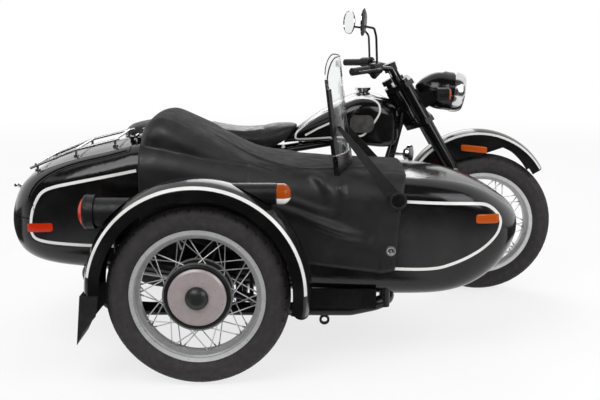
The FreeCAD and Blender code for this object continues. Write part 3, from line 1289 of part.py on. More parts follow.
def side_lamps():
    """The round tail lamp on its stub and the front marker lamp in its level housing."""
    room = Part.makeCylinder(WING_R + SEAT_GAP, 300.0, vec(WING_X, -TRACK - 150.0, WING_Z), vec(0, 1, 0))
    tail = lamp_turned([[(-122.0, 0.0), (-122.0, 6.0)], [(-122.0, 6.0), (-115.0, 37.0), (-99.0, 57.0)],
                        [(-99.0, 57.0), (-93.0, 60.0)], [(-93.0, 60.0), (-62.0, 60.0)], [(-62.0, 60.0), (-62.0, 50.0)],
                        [(-62.0, 50.0), (60.0, 50.0)], [(60.0, 50.0), (60.0, 0.0)], [(60.0, 0.0), (-122.0, 0.0)]], 630.0)
    marker = lamp_turned([[(400.0, 0.0), (400.0, 38.0)], [(400.0, 38.0), (569.0, 38.0)], [(569.0, 38.0), (572.0, 36.0)],
                          [(572.0, 36.0), (596.0, 36.0)], [(596.0, 36.0), (613.0, 26.0), (621.0, 6.0)],
                          [(621.0, 6.0), (621.0, 0.0)], [(621.0, 0.0), (400.0, 0.0)]], 695.0)
    return Part.Compound([tail.cut(room), marker.cut(room)])


def sidecar_frame():
    """The ladder frame under the body, the posts of the mudguard and the four arms to the motorcycle."""
    y = SIDE_TUBE_Y
    z = SIDE_TUBE_Z
    inner_y = INNER_TUBE_Y
    rear = vec(-160.0, 0, 344.0)
    front = vec(985.0, 0, z + 32.0)
    main = bent_tube([vec(rear.x, -500.0, rear.z), vec(rear.x, y, rear.z), vec(-60.0, y, z + 8.0), vec(80.0, y, z),
                      vec(840.0, y, z), vec(front.x, y, front.z), vec(front.x, -500.0, front.z)], SIDE_TUBE_R, 90.0)
    rail = bent_tube([vec(rear.x, inner_y, rear.z), vec(-60.0, inner_y, z + 24.0), vec(front.x, inner_y, front.z)],
                     SIDE_TUBE_R, 90.0)
    ends = [rod(vec(p.x, -510.0, p.z), vec(p.x, inner_y, p.z), SIDE_TUBE_R) for p in (rear, front)]
    crosses = [rod(vec(x, y, z + 4.0), vec(x, inner_y, z + 22.0), CROSS_R) for x in (180.0, 650.0)]
    arms = [
        rod(vec(976.0, inner_y, z + 30.0), vec(976.0, -RAIL_HALF, RAIL_Z + 8.0), 16.0),
        bent_tube([vec(400.0, inner_y, z + 24.0), vec(400.0, -168.0, z + 44.0), vec(400.0, -RAIL_HALF - 4.0, RAIL_Z + 4.0)],
                  15.0, 40.0),
        rod(vec(960.0, inner_y + 8.0, z + 30.0), vec(1038.0, -77.0, 560.0), 13.0),
        rod(vec(160.0, inner_y + 8.0, z + 22.0), vec(232.0, -RAIL_HALF, 432.0), 13.0),
    ]
    mounts = []
    for x, radius in ((-60.0, 13.0), (420.0, 13.0), (968.0, 20.0)):
        for side in (-1, 1):
            foot = vec(x, TUB_Y + side * 242.0, z + 10.0)
            mounts.append(rod(foot, foot + vec(0, 0, 220.0), radius))
    step = box(690.0, 935.0, y - SIDE_TUBE_R - 2.0, y - 15.0, z + 10.0, z + 86.0)
    beams = [rod(vec(420.0, y, z), vec(420.0, inner_y, z + 24.0), CROSS_R)]
    posts = []
    for angle in (151.0, 32.0):
        seat = polar(WING_X, WING_Z, POST_SEAT_R, angle)
        posts.append(bent_tube([vec(seat.x, y, z + 2.0), vec(seat.x, POST_Y, z + 40.0), vec(seat.x, POST_Y, seat.z + 14.0)],
                               POST_R, 30.0))
        posts.append(rod(vec(seat.x, POST_Y, seat.z), vec(seat.x, -TRACK + WING_HALF + SEAT_GAP, seat.z), 12.0))
    shock_post = bent_tube([vec(470.0, y, z), vec(470.0, POST_Y, z + 40.0), vec(470.0, POST_Y, 655.0)], POST_R, 30.0)
    shock_plate = box(384.0, 478.0, -1051.0, -1004.0, SHOCK_PLATE_Z, SHOCK_PLATE_Z + 7.0)
    pivot = rod(vec(ARM_PIVOT_X, y, ARM_PIVOT_Z), vec(ARM_PIVOT_X, ARM_Y - 21.0, ARM_PIVOT_Z), PIVOT_R)
    eye_foot = vec(EYE_X, y - EYE_T / 2.0, z - SIDE_TUBE_R - EYE_R - EYE_WALL + 3.0)
    eye = Part.makeCylinder(EYE_R + EYE_WALL, EYE_T, eye_foot, vec(0, 1, 0))
    eye_hole = Part.makeCylinder(EYE_R, EYE_T + 2.0, eye_foot - vec(0, 1.0, 0), vec(0, 1, 0))
    whole = [main, rail] + ends + crosses + arms + mounts + beams + posts + [shock_post, shock_plate, pivot, eye, step]
    frame = fused(whole).cut(eye_hole)
    for part in [tub_loft(SEAT_GAP)] + cradle_tubes(-1, SEAT_GAP):
        frame = frame.cut(part)
    return frame


def wheel_arm():
    """The trailing arm of the sidecar wheel with its axle and brake plate."""
    axle_z = TYRE_R
    arm = rod(vec(ARM_PIVOT_X - 25.0, ARM_Y, ARM_PIVOT_Z + 6.7), vec(SIDE_LEAD, ARM_Y, axle_z), ARM_R)
    ends = [rod(vec(ARM_PIVOT_X, ARM_Y - 18.0, ARM_PIVOT_Z), vec(ARM_PIVOT_X, ARM_Y + 18.0, ARM_PIVOT_Z), 30.0),
            rod(vec(SIDE_LEAD, ARM_Y - 18.0, axle_z), vec(SIDE_LEAD, ARM_Y + 18.0, axle_z), 26.0)]
    axle = rod(vec(SIDE_LEAD, ARM_Y, axle_z), vec(SIDE_LEAD, -TRACK - 44.0, axle_z), AXLE_R)
    plate_start = -TRACK + HUB_HALF + 1.5
    brake_plate = rod(vec(SIDE_LEAD, plate_start, axle_z), vec(SIDE_LEAD, plate_start + 16.0, axle_z), 92.0)
    pivot = rod(vec(ARM_PIVOT_X, -900.0, ARM_PIVOT_Z), vec(ARM_PIVOT_X, -1100.0, ARM_PIVOT_Z), PIVOT_R + SEAT_GAP)
    return fused([arm] + ends + [axle, brake_plate]).cut(pivot)


def sidecar_group():
    """The sidecar's fixed pieces."""
    return {
        "sidecar_body": sidecar_body(),
        "tonneau_cover": tonneau_cover(),
        "windscreen": windscreen(),
        "windscreen_frame": windscreen_frame(),
        "side_fender": side_fender(),
        "mud_flap": mud_flap(),
        "side_lamps": side_lamps(),
        "sidecar_frame": sidecar_frame(),
        "wheel_arm": wheel_arm(),
        "hinge_pins": hinge_pins(),
        "trunk_lid": trunk_lid(),
        "luggage_rack": luggage_rack(),
        "lid_latch": lid_latch(),
    }


def write_parts():
    """Build every piece, move the whole to its origin and write one STEP file a piece."""
    pieces = {}
    for group in (wheels, fork_group, motorcycle_group, sidecar_group):
        pieces.update(group())
    points = [p for shape in pieces.values() for p in shape.tessellate(0.5)[0]]
    low_x, high_x = min(p.x for p in points), max(p.x for p in points)
    low_y, high_y = min(p.y for p in points), max(p.y for p in points)
    low_z = min(p.z for p in points)
    shift = vec(-(low_x + high_x) / 2.0, -(low_y + high_y) / 2.0, -low_z)
    os.makedirs("parts", exist_ok=True)
    for name, shape in pieces.items():
        shape.translate(shift)
        shape.exportStep(f"parts/{name}.step")
        print(name, "solids", len(shape.Solids), "valid", shape.isValid())
    print("shift", json.dumps([round(shift.x, 3), round(shift.y, 3), round(shift.z, 3)]))


write_parts()
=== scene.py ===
"""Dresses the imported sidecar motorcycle: paint, stripes, tyres, covers, lenses and small fittings.

Design places are in millimetres, with +X forward from the rear axle, +Y left from the motorcycle's middle
plane and +Z up from the ground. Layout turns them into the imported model's own metres, in which the profiles
of turned shapes are written.
"""
import logging
import math
from collections.abc import Iterable
from dataclasses import dataclass, field
from enum import Enum

import bmesh
import bpy
from mathutils import Matrix, Vector, noise
from mathutils.bvhtree import BVHTree


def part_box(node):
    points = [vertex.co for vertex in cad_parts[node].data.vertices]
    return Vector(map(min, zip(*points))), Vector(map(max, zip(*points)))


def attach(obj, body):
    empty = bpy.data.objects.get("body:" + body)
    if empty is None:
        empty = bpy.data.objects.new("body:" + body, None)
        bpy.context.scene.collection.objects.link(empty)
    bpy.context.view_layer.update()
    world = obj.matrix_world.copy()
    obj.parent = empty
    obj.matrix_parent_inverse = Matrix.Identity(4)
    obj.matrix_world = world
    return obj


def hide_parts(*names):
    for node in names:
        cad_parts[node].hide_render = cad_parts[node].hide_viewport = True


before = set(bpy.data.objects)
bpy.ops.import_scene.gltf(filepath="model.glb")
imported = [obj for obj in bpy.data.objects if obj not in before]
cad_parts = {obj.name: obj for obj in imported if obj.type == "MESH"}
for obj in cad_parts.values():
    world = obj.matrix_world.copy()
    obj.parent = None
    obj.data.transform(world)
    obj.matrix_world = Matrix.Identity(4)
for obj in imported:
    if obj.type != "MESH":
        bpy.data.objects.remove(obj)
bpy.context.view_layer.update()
LOG = logging.getLogger("sidecar_motorcycle")
TYRE_RADIUS = 330.0
TUB_MIDDLE = -710.0
SIDE_WHEEL = (290.0, -1140.0)
FORWARD = Vector((1, 0, 0))
Colour = tuple[float, float, float]
Line = tuple[tuple[float, float], ...]
Mesh = bpy.types.Mesh
Socket = bpy.types.NodeSocket
MADE: dict[str, bpy.types.Material] = {}


class Body(Enum):
    """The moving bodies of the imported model."""

    CHASSIS = "chassis"
    FORK = "fork"
    FRONT_WHEEL = "front_wheel"
    REAR_WHEEL = "rear_wheel"
    SIDE_WHEEL = "side_wheel"
    TRUNK_LID = "trunk_lid"


class Side(Enum):
    """A side of the motorcycle or of the sidecar, by the sign of Y."""

    RIGHT = -1
    LEFT = 1

    @property
    def word(self) -> str:
        """The side's word in the name of a piece."""
        return self.name.lower()

    @property
    def out(self) -> Vector:
        """The way that the side faces."""
        return Vector((0.0, self.value, 0.0))


@dataclass(frozen=True)
class Layout:
    """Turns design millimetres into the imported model's metres."""

    origin: Vector

    @classmethod
    def from_frame(cls) -> "Layout":
        """Read the design origin from the rear tyre.

        Returns:
            The layout whose origin is the ground point under the rear axle.
        """
        low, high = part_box("rear_tyre")
        middle = (low + high) / 2.0
        return cls(Vector((middle.x, middle.y, middle.z - TYRE_RADIUS / 1000.0)))

    def at(self, x: float, y: float, z: float) -> Vector:
        """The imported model's point for a design point in millimetres."""
        return Vector((x, y, z)) / 1000.0 + self.origin


LAYOUT = Layout.from_frame()


def grey(level: float) -> Colour:
    """A colour without a hue."""
    return (level, level, level)


# Materials


class NodeSketch:
    """Adds and links the shader nodes of one material or world."""

    def __init__(self, owner: bpy.types.Material | bpy.types.World) -> None:
        """Start from the owner's own shader.

        Args:
            owner: The material or world.
        """
        owner.use_nodes = True
        self.tree = owner.node_tree
        self.shader = self.tree.nodes.get("Principled BSDF") or self.tree.nodes["Background"]

    def add(self, kind: str, **settings: object) -> bpy.types.Node:
        """Add a node and set its attributes.

        Args:
            kind: The node's Blender type, without the prefix.
            **settings: Attributes to set on the node.

        Returns:
            The new node.
        """
        node = self.tree.nodes.new("ShaderNode" + kind)
        for key, value in settings.items():
            setattr(node, key, value)
        return node

    def feed(self, target: Socket, value: Socket | Colour | Vector | float) -> None:
        """Link an input to a socket, or set it to a constant.

        Args:
            target: The input.
            value: An output socket, a colour, a vector or a number.
        """
        if isinstance(value, Socket):
            self.tree.links.new(value, target)
        else:
            target.default_value = (*value, 1.0) if isinstance(value, tuple) else value

    def set(self, **values: Socket | Colour | float) -> None:
        """Feed the shader's own inputs, which are named with underscores for spaces."""
        for name, value in values.items():
            self.feed(self.shader.inputs[name.replace("_", " ")], value)

    def place(self) -> Socket:
        """The object coordinates, which ride with the piece."""
        return self.add("TexCoord").outputs["Object"]

    def axes(self, kind: str = "Object") -> bpy.types.bpy_prop_collection:
        """Part coordinates into their axes.

        Args:
            kind: The kind of coordinates.

        Returns:
            The X, Y and Z sockets.
        """
        split = self.add("SeparateXYZ")
        self.feed(split.inputs[0], self.add("TexCoord").outputs[kind])
        return split.outputs

    def speckle(self, scale: float, detail: float = 3.0) -> Socket:
        """Add a noise of the given scale.

        Args:
            scale: Cells in a metre.
            detail: Octaves of the noise.

        Returns:
            The noise's factor.
        """
        node = self.add("TexNoise")
        for name, value in (("Scale", scale), ("Detail", detail), ("Vector", self.place())):
            self.feed(node.inputs[name], value)
        return node.outputs["Fac"]

    def between(self, factor: Socket, low: float, high: float,
                start: float = 0.3, end: float = 0.7) -> Socket:
        """Map a factor onto a range and hold it there.

        Args:
            factor: The value to map.
            low: The result at the start.
            high: The result at the end.
            start: The factor that gives low.
            end: The factor that gives high.

        Returns:
            The mapped value.
        """
        node = self.add("MapRange")
        for name, value in (("From Min", start), ("From Max", end), ("To Min", low), ("To Max", high),
                            ("Value", factor)):
            self.feed(node.inputs[name], value)
        return node.outputs["Result"]

    def tint(self, factor: Socket, first: Socket | Colour, second: Socket | Colour) -> Socket:
        """Mix two colours by a factor.

        Args:
            factor: The mixing factor.
            first: The colour at factor 0.
            second: The colour at factor 1.

        Returns:
            The mixed colour.
        """
        node = self.add("Mix", data_type="RGBA")
        for name, value in (("A", first), ("B", second), ("Factor", factor)):
            self.feed(node.inputs[name], value)
        return node.outputs["Result"]

    def bump(self, height: Socket, strength: float, distance: float) -> None:
        """Bump the surface by a height.

        Args:
            height: The height's socket.
            strength: The bump's strength.
            distance: The height of a full step in metres.
        """
        node = self.add("Bump")
        for name, value in (("Strength", strength), ("Distance", distance), ("Height", height)):
            self.feed(node.inputs[name], value)
        self.set(Normal=node.outputs["Normal"])

    def maths(self, operation: str, *values: Socket | float) -> Socket:
        """Add a maths node.

        Args:
            operation: The Blender operation's name.
            *values: Sockets or plain numbers, in order.

        Returns:
            The result.
        """
        node = self.add("Math", operation=operation)
        for target, value in zip(node.inputs, values):
            self.feed(target, value)
        return node.outputs[0]

    def product(self, first: Socket, *others: Socket | float) -> Socket:
        """Multiply several values.

        Args:
            first: The first factor.
            *others: The other factors.

        Returns:
            The product.
        """
        for other in others:
            first = self.maths("MULTIPLY", first, other)
        return first

    def seen(self) -> Socket:
        """Tell the rays that see or mirror the set from those that light it.

        Returns:
            One for the first kind, nothing for the second.
        """
        rays = self.add("LightPath").outputs
        seen = self.maths("MAXIMUM", rays["Is Camera Ray"], rays["Is Glossy Ray"])
        return self.maths("MAXIMUM", seen, rays["Is Transmission Ray"])

    def show(self, share: Socket, plain: Socket, over: Socket) -> None:
        """Give the material's surface two shaders.

        Args:
            share: How much of the second shows.
            plain: The first shader.
            over: The second shader.
        """
        mix = self.add("MixShader")
        for target, value in zip(mix.inputs, (share, plain, over)):
            self.feed(target, value)
        self.feed(self.tree.nodes["Material Output"].inputs["Surface"], mix.outputs[0])


@dataclass(frozen=True)
class Finish:
    """A surface finish that can make its Blender material."""

    name: str
    colour: Colour

    def sketch(self, nodes: NodeSketch) -> None:
        """Build the material's nodes; each kind of finish has its own.

        Args:
            nodes: The material's nodes.
        """
        raise NotImplementedError

    def material(self) -> bpy.types.Material:
        """Make the material at the first call.

        Returns:
            The material, shared by all pieces of this finish.
        """
        if self.name not in MADE:
            MADE[self.name] = bpy.data.materials.new(self.name)
            self.sketch(NodeSketch(MADE[self.name]))
        return MADE[self.name]


@dataclass(frozen=True)
class GlossPaint(Finish):
    """Stove enamel under a clear coat, with faint dust and orange peel."""

    dust: Colour = (0.010, 0.0098, 0.0094)
    roughness: float = 0.12
    specular: float = 0.40

    def sketch(self, nodes: NodeSketch) -> None:
        """Build the enamel's nodes.

        Args:
            nodes: The material's nodes.
        """
        haze = nodes.between(nodes.speckle(9.0, 6.0), 0.0, 1.0, 0.42, 0.85)
        nodes.set(Base_Color=nodes.tint(haze, self.colour, self.dust),
                  Roughness=nodes.between(nodes.speckle(55.0, 5.0), self.roughness, self.roughness + 0.08),
                  Coat_Weight=0.08, Coat_Roughness=0.04, Specular_IOR_Level=self.specular)
        nodes.bump(nodes.speckle(420.0, 2.0), 0.04, 0.0004)


@dataclass(frozen=True)
class Metal(Finish):
    """Bare or plated metal with fine brushing and dull patches."""

    roughness: float = 0.2
    grain: float = 300.0
    relief: float = 0.05
    stain: Colour = (0.28, 0.27, 0.26)

    def sketch(self, nodes: NodeSketch) -> None:
        """Build the metal's nodes.

        Args:
            nodes: The material's nodes.
        """
        patch = nodes.between(nodes.speckle(22.0, 7.0), 0.0, 0.55, 0.45, 0.8)
        nodes.set(Base_Color=nodes.tint(patch, self.colour, self.stain), Metallic=1.0,
                  Roughness=nodes.between(nodes.speckle(130.0, 4.0), self.roughness, self.roughness + 0.16))
        nodes.bump(nodes.speckle(self.grain, 3.0), self.relief, 0.0005)


@dataclass(frozen=True)
class Rubber(Finish):
    """Dark rubber with grey dust in its pores."""

    dust: Colour = (0.032, 0.031, 0.030)
    roughness: float = 0.68
    relief: float = 0.25

    def sketch(self, nodes: NodeSketch) -> None:
        """Build the rubber's nodes.

        Args:
            nodes: The material's nodes.
        """
        haze = nodes.between(nodes.speckle(38.0, 8.0), 0.0, 0.8, 0.4, 0.8)
        rough = nodes.between(nodes.speckle(90.0), self.roughness - 0.1, self.roughness + 0.12)
        nodes.set(Base_Color=nodes.tint(haze, self.colour, self.dust), Roughness=rough,
                  Specular_IOR_Level=0.25)
        nodes.bump(nodes.speckle(700.0, 4.0), self.relief, 0.0006)


@dataclass(frozen=True)
class Hide(Finish):
    """Leather or leathercloth: a pebbled grain, a soft sheen, and a top that the weather has dulled."""

    worn: Colour = (0.016, 0.0155, 0.015)
    roughness: float = 0.42
    pebble: float = 650.0
    specular: float = 0.34
    matt_top: float = 0.0

    def sketch(self, nodes: NodeSketch) -> None:
        """Build the grain's nodes.

        Args:
            nodes: The material's nodes.
        """
        rub = nodes.between(nodes.speckle(7.0, 6.0), 0.0, 1.0, 0.42, 0.75)
        dull = nodes.between(nodes.axes("Normal")["Z"], 0.0, self.matt_top, 0.5, 0.9)
        rough = nodes.between(nodes.speckle(26.0, 5.0), self.roughness - 0.08, self.roughness + 0.14)
        nodes.set(Base_Color=nodes.tint(rub, self.colour, self.worn),
                  Roughness=nodes.maths("ADD", rough, dull), Specular_IOR_Level=self.specular)
        cells = nodes.add("TexVoronoi", feature="DISTANCE_TO_EDGE")
        nodes.feed(cells.inputs["Scale"], self.pebble)
        nodes.feed(cells.inputs["Vector"], nodes.place())
        grain = nodes.maths("MINIMUM", cells.outputs["Distance"], 0.25)
        nodes.bump(nodes.maths("MULTIPLY_ADD", nodes.speckle(30.0, 4.0), 0.4, grain), 0.10, 0.0009)


@dataclass(frozen=True)
class Clear(Finish):
    """Clear or coloured glass or plastic, ribbed if asked."""

    roughness: float = 0.02
    clear: float = 1.0
    ribs: float = 0.0
    ior: float = 1.49

    def sketch(self, nodes: NodeSketch) -> None:
        """Build the glass nodes.

        Args:
            nodes: The material's nodes.
        """
        shade = tuple(0.93 * part for part in self.colour)
        nodes.set(Base_Color=nodes.tint(nodes.between(nodes.speckle(5.0), 0.0, 1.0), self.colour, shade),
                  Roughness=nodes.between(nodes.speckle(14.0, 5.0), self.roughness, self.roughness + 0.05),
                  Transmission_Weight=self.clear, IOR=self.ior,
                  Specular_IOR_Level=0.5 if self.clear > 0.5 else 0.25)
        if self.ribs:
            wave = nodes.add("TexWave", wave_type="BANDS", bands_direction="Y")
            nodes.feed(wave.inputs["Scale"], self.ribs)
            nodes.feed(wave.inputs["Vector"], nodes.place())
            nodes.bump(wave.outputs["Fac"], 0.5, 0.0012)


@dataclass(frozen=True)
class WheelMetal(Finish):
    """The wire wheel's metals by distance from its axle: cap, cover, a seam of painted shade round the cover,
    spokes and rim, with painted shade on the rim's inner band.
    """

    cap: Colour = grey(0.02)
    # Painted shade: the seam colour darkens the gap between the hub cover and its flange.
    seam: Colour = (0.02, 0.019, 0.018)
    spoke: Colour = grey(0.66)
    rim: Colour = (0.60, 0.60, 0.61)
    # Painted shade: the colour of the side faces of the rim's inner band.
    painted_well_shade: Colour = grey(0.37)
    cap_radius: float = 0.0415
    cover_radius: float = 0.1042
    gap_shade_radius: float = 0.1195
    rim_radius: float = 0.206
    lip_radius: float = 0.2275
    axle: Vector = field(default_factory=Vector)

    def sketch(self, nodes: NodeSketch) -> None:
        """Build the radial zones, with a less metallic rim and painted shade on the side faces of its inner
        band.

        Args:
            nodes: The material's nodes.
        """
        place = nodes.axes()
        across = nodes.maths("SUBTRACT", place["X"], self.axle.x)
        upright = nodes.maths("SUBTRACT", place["Z"], self.axle.z)
        square = nodes.maths("ADD", nodes.product(across, across), nodes.product(upright, upright))
        radius = nodes.maths("SQRT", square)
        colour = self.cap
        for edge, tone in ((self.cap_radius, self.colour), (self.cover_radius, self.seam),
                           (self.gap_shade_radius, self.spoke), (self.rim_radius, self.rim)):
            colour = nodes.tint(nodes.maths("GREATER_THAN", radius, edge), colour, tone)
        bare = nodes.maths("GREATER_THAN", radius, self.gap_shade_radius)
        rim = nodes.maths("GREATER_THAN", radius, self.rim_radius)
        facing = nodes.maths("GREATER_THAN", nodes.maths("ABSOLUTE", nodes.axes("Normal")["Y"]), 0.5)
        # Painted shade: side faces between the rim and lip radii take the darker colour.
        painted_well_shade = nodes.product(rim, nodes.maths("LESS_THAN", radius, self.lip_radius), facing)
        dirty = nodes.add("VectorMath", operation="SCALE")
        nodes.feed(dirty.inputs[0], nodes.tint(painted_well_shade, colour, self.painted_well_shade))
        nodes.feed(dirty.inputs["Scale"], nodes.between(nodes.speckle(45.0, 7.0), 0.9, 1.0, 0.3, 0.6))
        metallic = nodes.maths("MULTIPLY_ADD", rim, -0.45, nodes.maths("MULTIPLY_ADD", bare, 0.75, 0.2))
        nodes.set(Base_Color=dirty.outputs["Vector"], Metallic=metallic,
                  Roughness=nodes.between(nodes.speckle(160.0, 4.0), 0.26, 0.42))
        nodes.bump(nodes.speckle(500.0, 3.0), 0.08, 0.0004)


@dataclass(frozen=True)
class BandedLens(Clear):
    """A coloured lens whose lowest part is clear."""

    below: Colour = (0.80, 0.79, 0.76)
    level: float = 0.684

    def sketch(self, nodes: NodeSketch) -> None:
        """Build the lens's nodes with the two colours parted by height.

        Args:
            nodes: The material's nodes.
        """
        super().sketch(nodes)
        upper = nodes.maths("GREATER_THAN", nodes.axes()["Z"], self.level)
        nodes.set(Base_Color=nodes.tint(upper, self.below, self.colour))


@dataclass(frozen=True)
class LowerAlloy(GlossPaint):
    """Black enamel above a level and cast alloy below it."""

    alloy: Colour = (0.44, 0.44, 0.43)
    level: float = 0.607

    def sketch(self, nodes: NodeSketch) -> None:
        """Build the enamel's nodes and change to metal below the level.

        Args:
            nodes: The material's nodes.
        """
        super().sketch(nodes)
        lower = nodes.maths("LESS_THAN", nodes.axes()["Z"], self.level)
        nodes.set(Base_Color=nodes.tint(lower, self.colour, self.alloy), Metallic=lower,
                  Roughness=nodes.maths("MULTIPLY_ADD", lower, 0.2, self.roughness))


@dataclass(frozen=True)
class Finishes:
    """Every finish of the machine."""

    black: GlossPaint = GlossPaint("black_enamel", (0.0022, 0.0022, 0.0025))
    chassis_black: GlossPaint = GlossPaint("chassis_enamel", (0.004, 0.004, 0.0043), roughness=0.2,
                                           specular=0.24)
    white: GlossPaint = GlossPaint("stripe_white", (0.70, 0.70, 0.685), (0.55, 0.54, 0.52), 0.3)
    chrome: Metal = Metal("chrome_plate", (0.72, 0.72, 0.73), roughness=0.07, relief=0.02, stain=grey(0.5))
    rail: Metal = Metal("worn_chrome", (0.42, 0.42, 0.43), roughness=0.16, relief=0.02)
    steel: Metal = Metal("zinc_steel", grey(0.46), roughness=0.3)
    cast: Metal = Metal("cast_alloy", (0.44, 0.44, 0.43), roughness=0.36, grain=900.0, relief=0.3)
    mirror: Metal = Metal("mirror_glass", (0.86, 0.87, 0.88), roughness=0.015, relief=0.0, stain=grey(0.8))
    reflector: Metal = Metal("lamp_reflector", (0.85, 0.85, 0.86), roughness=0.05, relief=0.0,
                             stain=grey(0.75))
    tyre: Rubber = Rubber("tyre_rubber", (0.027, 0.0246, 0.0245), (0.047, 0.0432, 0.043))
    rubber: Rubber = Rubber("soft_rubber", grey(0.010), (0.022, 0.022, 0.021), 0.55)
    pad: Rubber = Rubber("knee_pad_rubber", (0.045, 0.043, 0.041), (0.10, 0.097, 0.092), 0.6, 0.6)
    plastic: Rubber = Rubber("black_plastic", grey(0.006), grey(0.013), 0.38, 0.1)
    cover: Hide = Hide("cover_leathercloth", (0.007, 0.0072, 0.0074), (0.013, 0.0133, 0.0136), 0.43,
                       specular=0.44, matt_top=0.5)
    saddle: Hide = Hide("saddle_hide", grey(0.007), grey(0.014), 0.42, 500.0)
    clear: Clear = Clear("screen_acrylic", (0.97, 0.985, 0.985), ior=1.14)
    lamp: Clear = Clear("lamp_glass", (0.97, 0.98, 0.98), ribs=26.0)
    amber: Clear = Clear("amber_lens", (0.42, 0.066, 0.002), 0.16, 0.04)
    red: Clear = Clear("red_lens", (0.48, 0.018, 0.001), 0.14, 0.04)
    marker: BandedLens = BandedLens("marker_lens", (0.30, 0.050, 0.002), 0.12, 0.04)
    fork: LowerAlloy = LowerAlloy("fork_cover_enamel", (0.0035, 0.0035, 0.0038))


FINISH = Finishes()


# Meshes


def placed(name: str, data: bpy.types.ID) -> bpy.types.Object:
    """Put data in the scene.

    Args:
        name: The object's name.
        data: Its mesh, light or camera.

    Returns:
        The new object.
    """
    piece = bpy.data.objects.new(name, data)
    bpy.context.scene.collection.objects.link(piece)
    return piece


def new_piece(name: str, mesh: Mesh, finish: Finish, body: Body = Body.CHASSIS,
              creased: bool = True) -> bpy.types.Object:
    """Put a mesh in the scene as a finished piece that rides on a body.

    Args:
        name: The piece's name.
        mesh: Its mesh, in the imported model's metres.
        finish: The finish that it gets.
        body: The body that carries it.
        creased: Whether its sharp edges stay sharp under the smooth shading.

    Returns:
        The new object.
    """
    mesh.materials.clear()
    mesh.materials.append(finish.material())
    piece = placed(name, mesh)
    mesh.shade_smooth()
    if creased:
        mesh.set_sharp_from_angle(angle=math.radians(35.0))
    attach(piece, body.value)
    LOG.info("%s: %d faces on %s", name, len(mesh.polygons), body.value)
    return piece


def plain_mesh(name: str, points: list[Vector], faces: list[tuple[int, ...]]) -> Mesh:
    """A mesh from points and faces, as they are.

    Args:
        name: The mesh's name.
        points: Its points in metres.
        faces: Its faces, as indices of points.

    Returns:
        The mesh.
    """
    mesh = bpy.data.meshes.new(name)
    mesh.from_pydata([tuple(point) for point in points], [], faces)
    return mesh


def mesh_of(name: str, points: list[Vector], faces: list[tuple[int, ...]]) -> Mesh:
    """A mesh from points and faces with its normals outward.

    Args:
        name: The mesh's name.
        points: Its points in metres.
        faces: Its faces, as indices of points.

    Returns:
        The mesh.
    """
    mesh = plain_mesh(name, points, faces)
    edit = bmesh.new()
    edit.from_mesh(mesh)
    bmesh.ops.recalc_face_normals(edit, faces=edit.faces)
    edit.to_mesh(mesh)
    edit.free()
    return mesh


def joined(name: str, meshes: list[Mesh]) -> Mesh:
    """Join several meshes, which are used up.

    Args:
        name: The name of the whole.
        meshes: The meshes.

    Returns:
        The one mesh.
    """
    edit = bmesh.new()
    for mesh in meshes:
        edit.from_mesh(mesh)
        bpy.data.meshes.remove(mesh)
    result = bpy.data.meshes.new(name)
    edit.to_mesh(result)
    edit.free()
    return result


def grid_faces(rows: int, columns: int, ring: bool = False, tube: bool = True) -> list[tuple[int, ...]]:
    """Faces over a grid of points, which are listed row by row.

    Args:
        rows: The number of rows.
        columns: The number of points in a row.
        ring: Whether the last row joins the first one.
        tube: Whether each row closes on itself. A tube that is no ring gets an end face at either end.

    Returns:
        The faces.
    """
    faces = []
    for row in range(rows if ring else rows - 1):
        here, there = row * columns, (row + 1) % rows * columns
        for column in range(columns if tube else columns - 1):
            after = (column + 1) % columns
            faces.append((here + column, there + column, there + after, here + after))
    if tube and not ring:
        last = (rows - 1) * columns
        faces += [tuple(range(columns)), tuple(reversed(range(last, last + columns)))]
    return faces


def lathe(profile: list[tuple[float, float]], start: Vector, axis: Vector, steps: int = 48,
          ring: bool = False) -> Mesh:
    """A turned shape.

    Args:
        profile: Points of (distance along the axis, radius) in metres, from end to end or round a section.
        start: The axis's starting point.
        axis: The axis's direction.
        steps: The number of sides.
        ring: Whether the profile is a closed section, turned into a ring.

    Returns:
        The mesh.
    """
    turn = axis.normalized().to_track_quat("Z", "Y").to_matrix()
    rows = []
    for step in range(steps):
        angle = 2.0 * math.pi * step / steps
        out = Vector((math.cos(angle), math.sin(angle), 0.0))
        rows.append([start + turn @ (out * radius + Vector((0.0, 0.0, along))) for along, radius in profile])
    if not ring:
        rows = list(zip(*rows))
    points = [point for row in rows for point in row]
    return mesh_of("turned", points, grid_faces(len(rows), len(rows[0]), ring=ring))


def pipe(points: list[Vector], radius: float, sides: int) -> Mesh:
    """A round tube along straight runs.

    Args:
        points: The tube's points in metres.
        radius: The tube's radius in metres.
        sides: Half of the tube's facets, less two.

    Returns:
        The mesh.
    """
    curve = bpy.data.curves.new("pipe", "CURVE")
    curve.dimensions = "3D"
    curve.bevel_depth = radius
    curve.bevel_resolution = sides
    curve.use_fill_caps = True
    spline = curve.splines.new("POLY")
    spline.points.add(len(points) - 1)
    for target, point in zip(spline.points, points):
        target.co = (*point, 1.0)
    holder = bpy.data.objects.new("pipe", curve)
    mesh = bpy.data.meshes.new_from_object(holder)
    bpy.data.objects.remove(holder)
    bpy.data.curves.remove(curve)
    return mesh


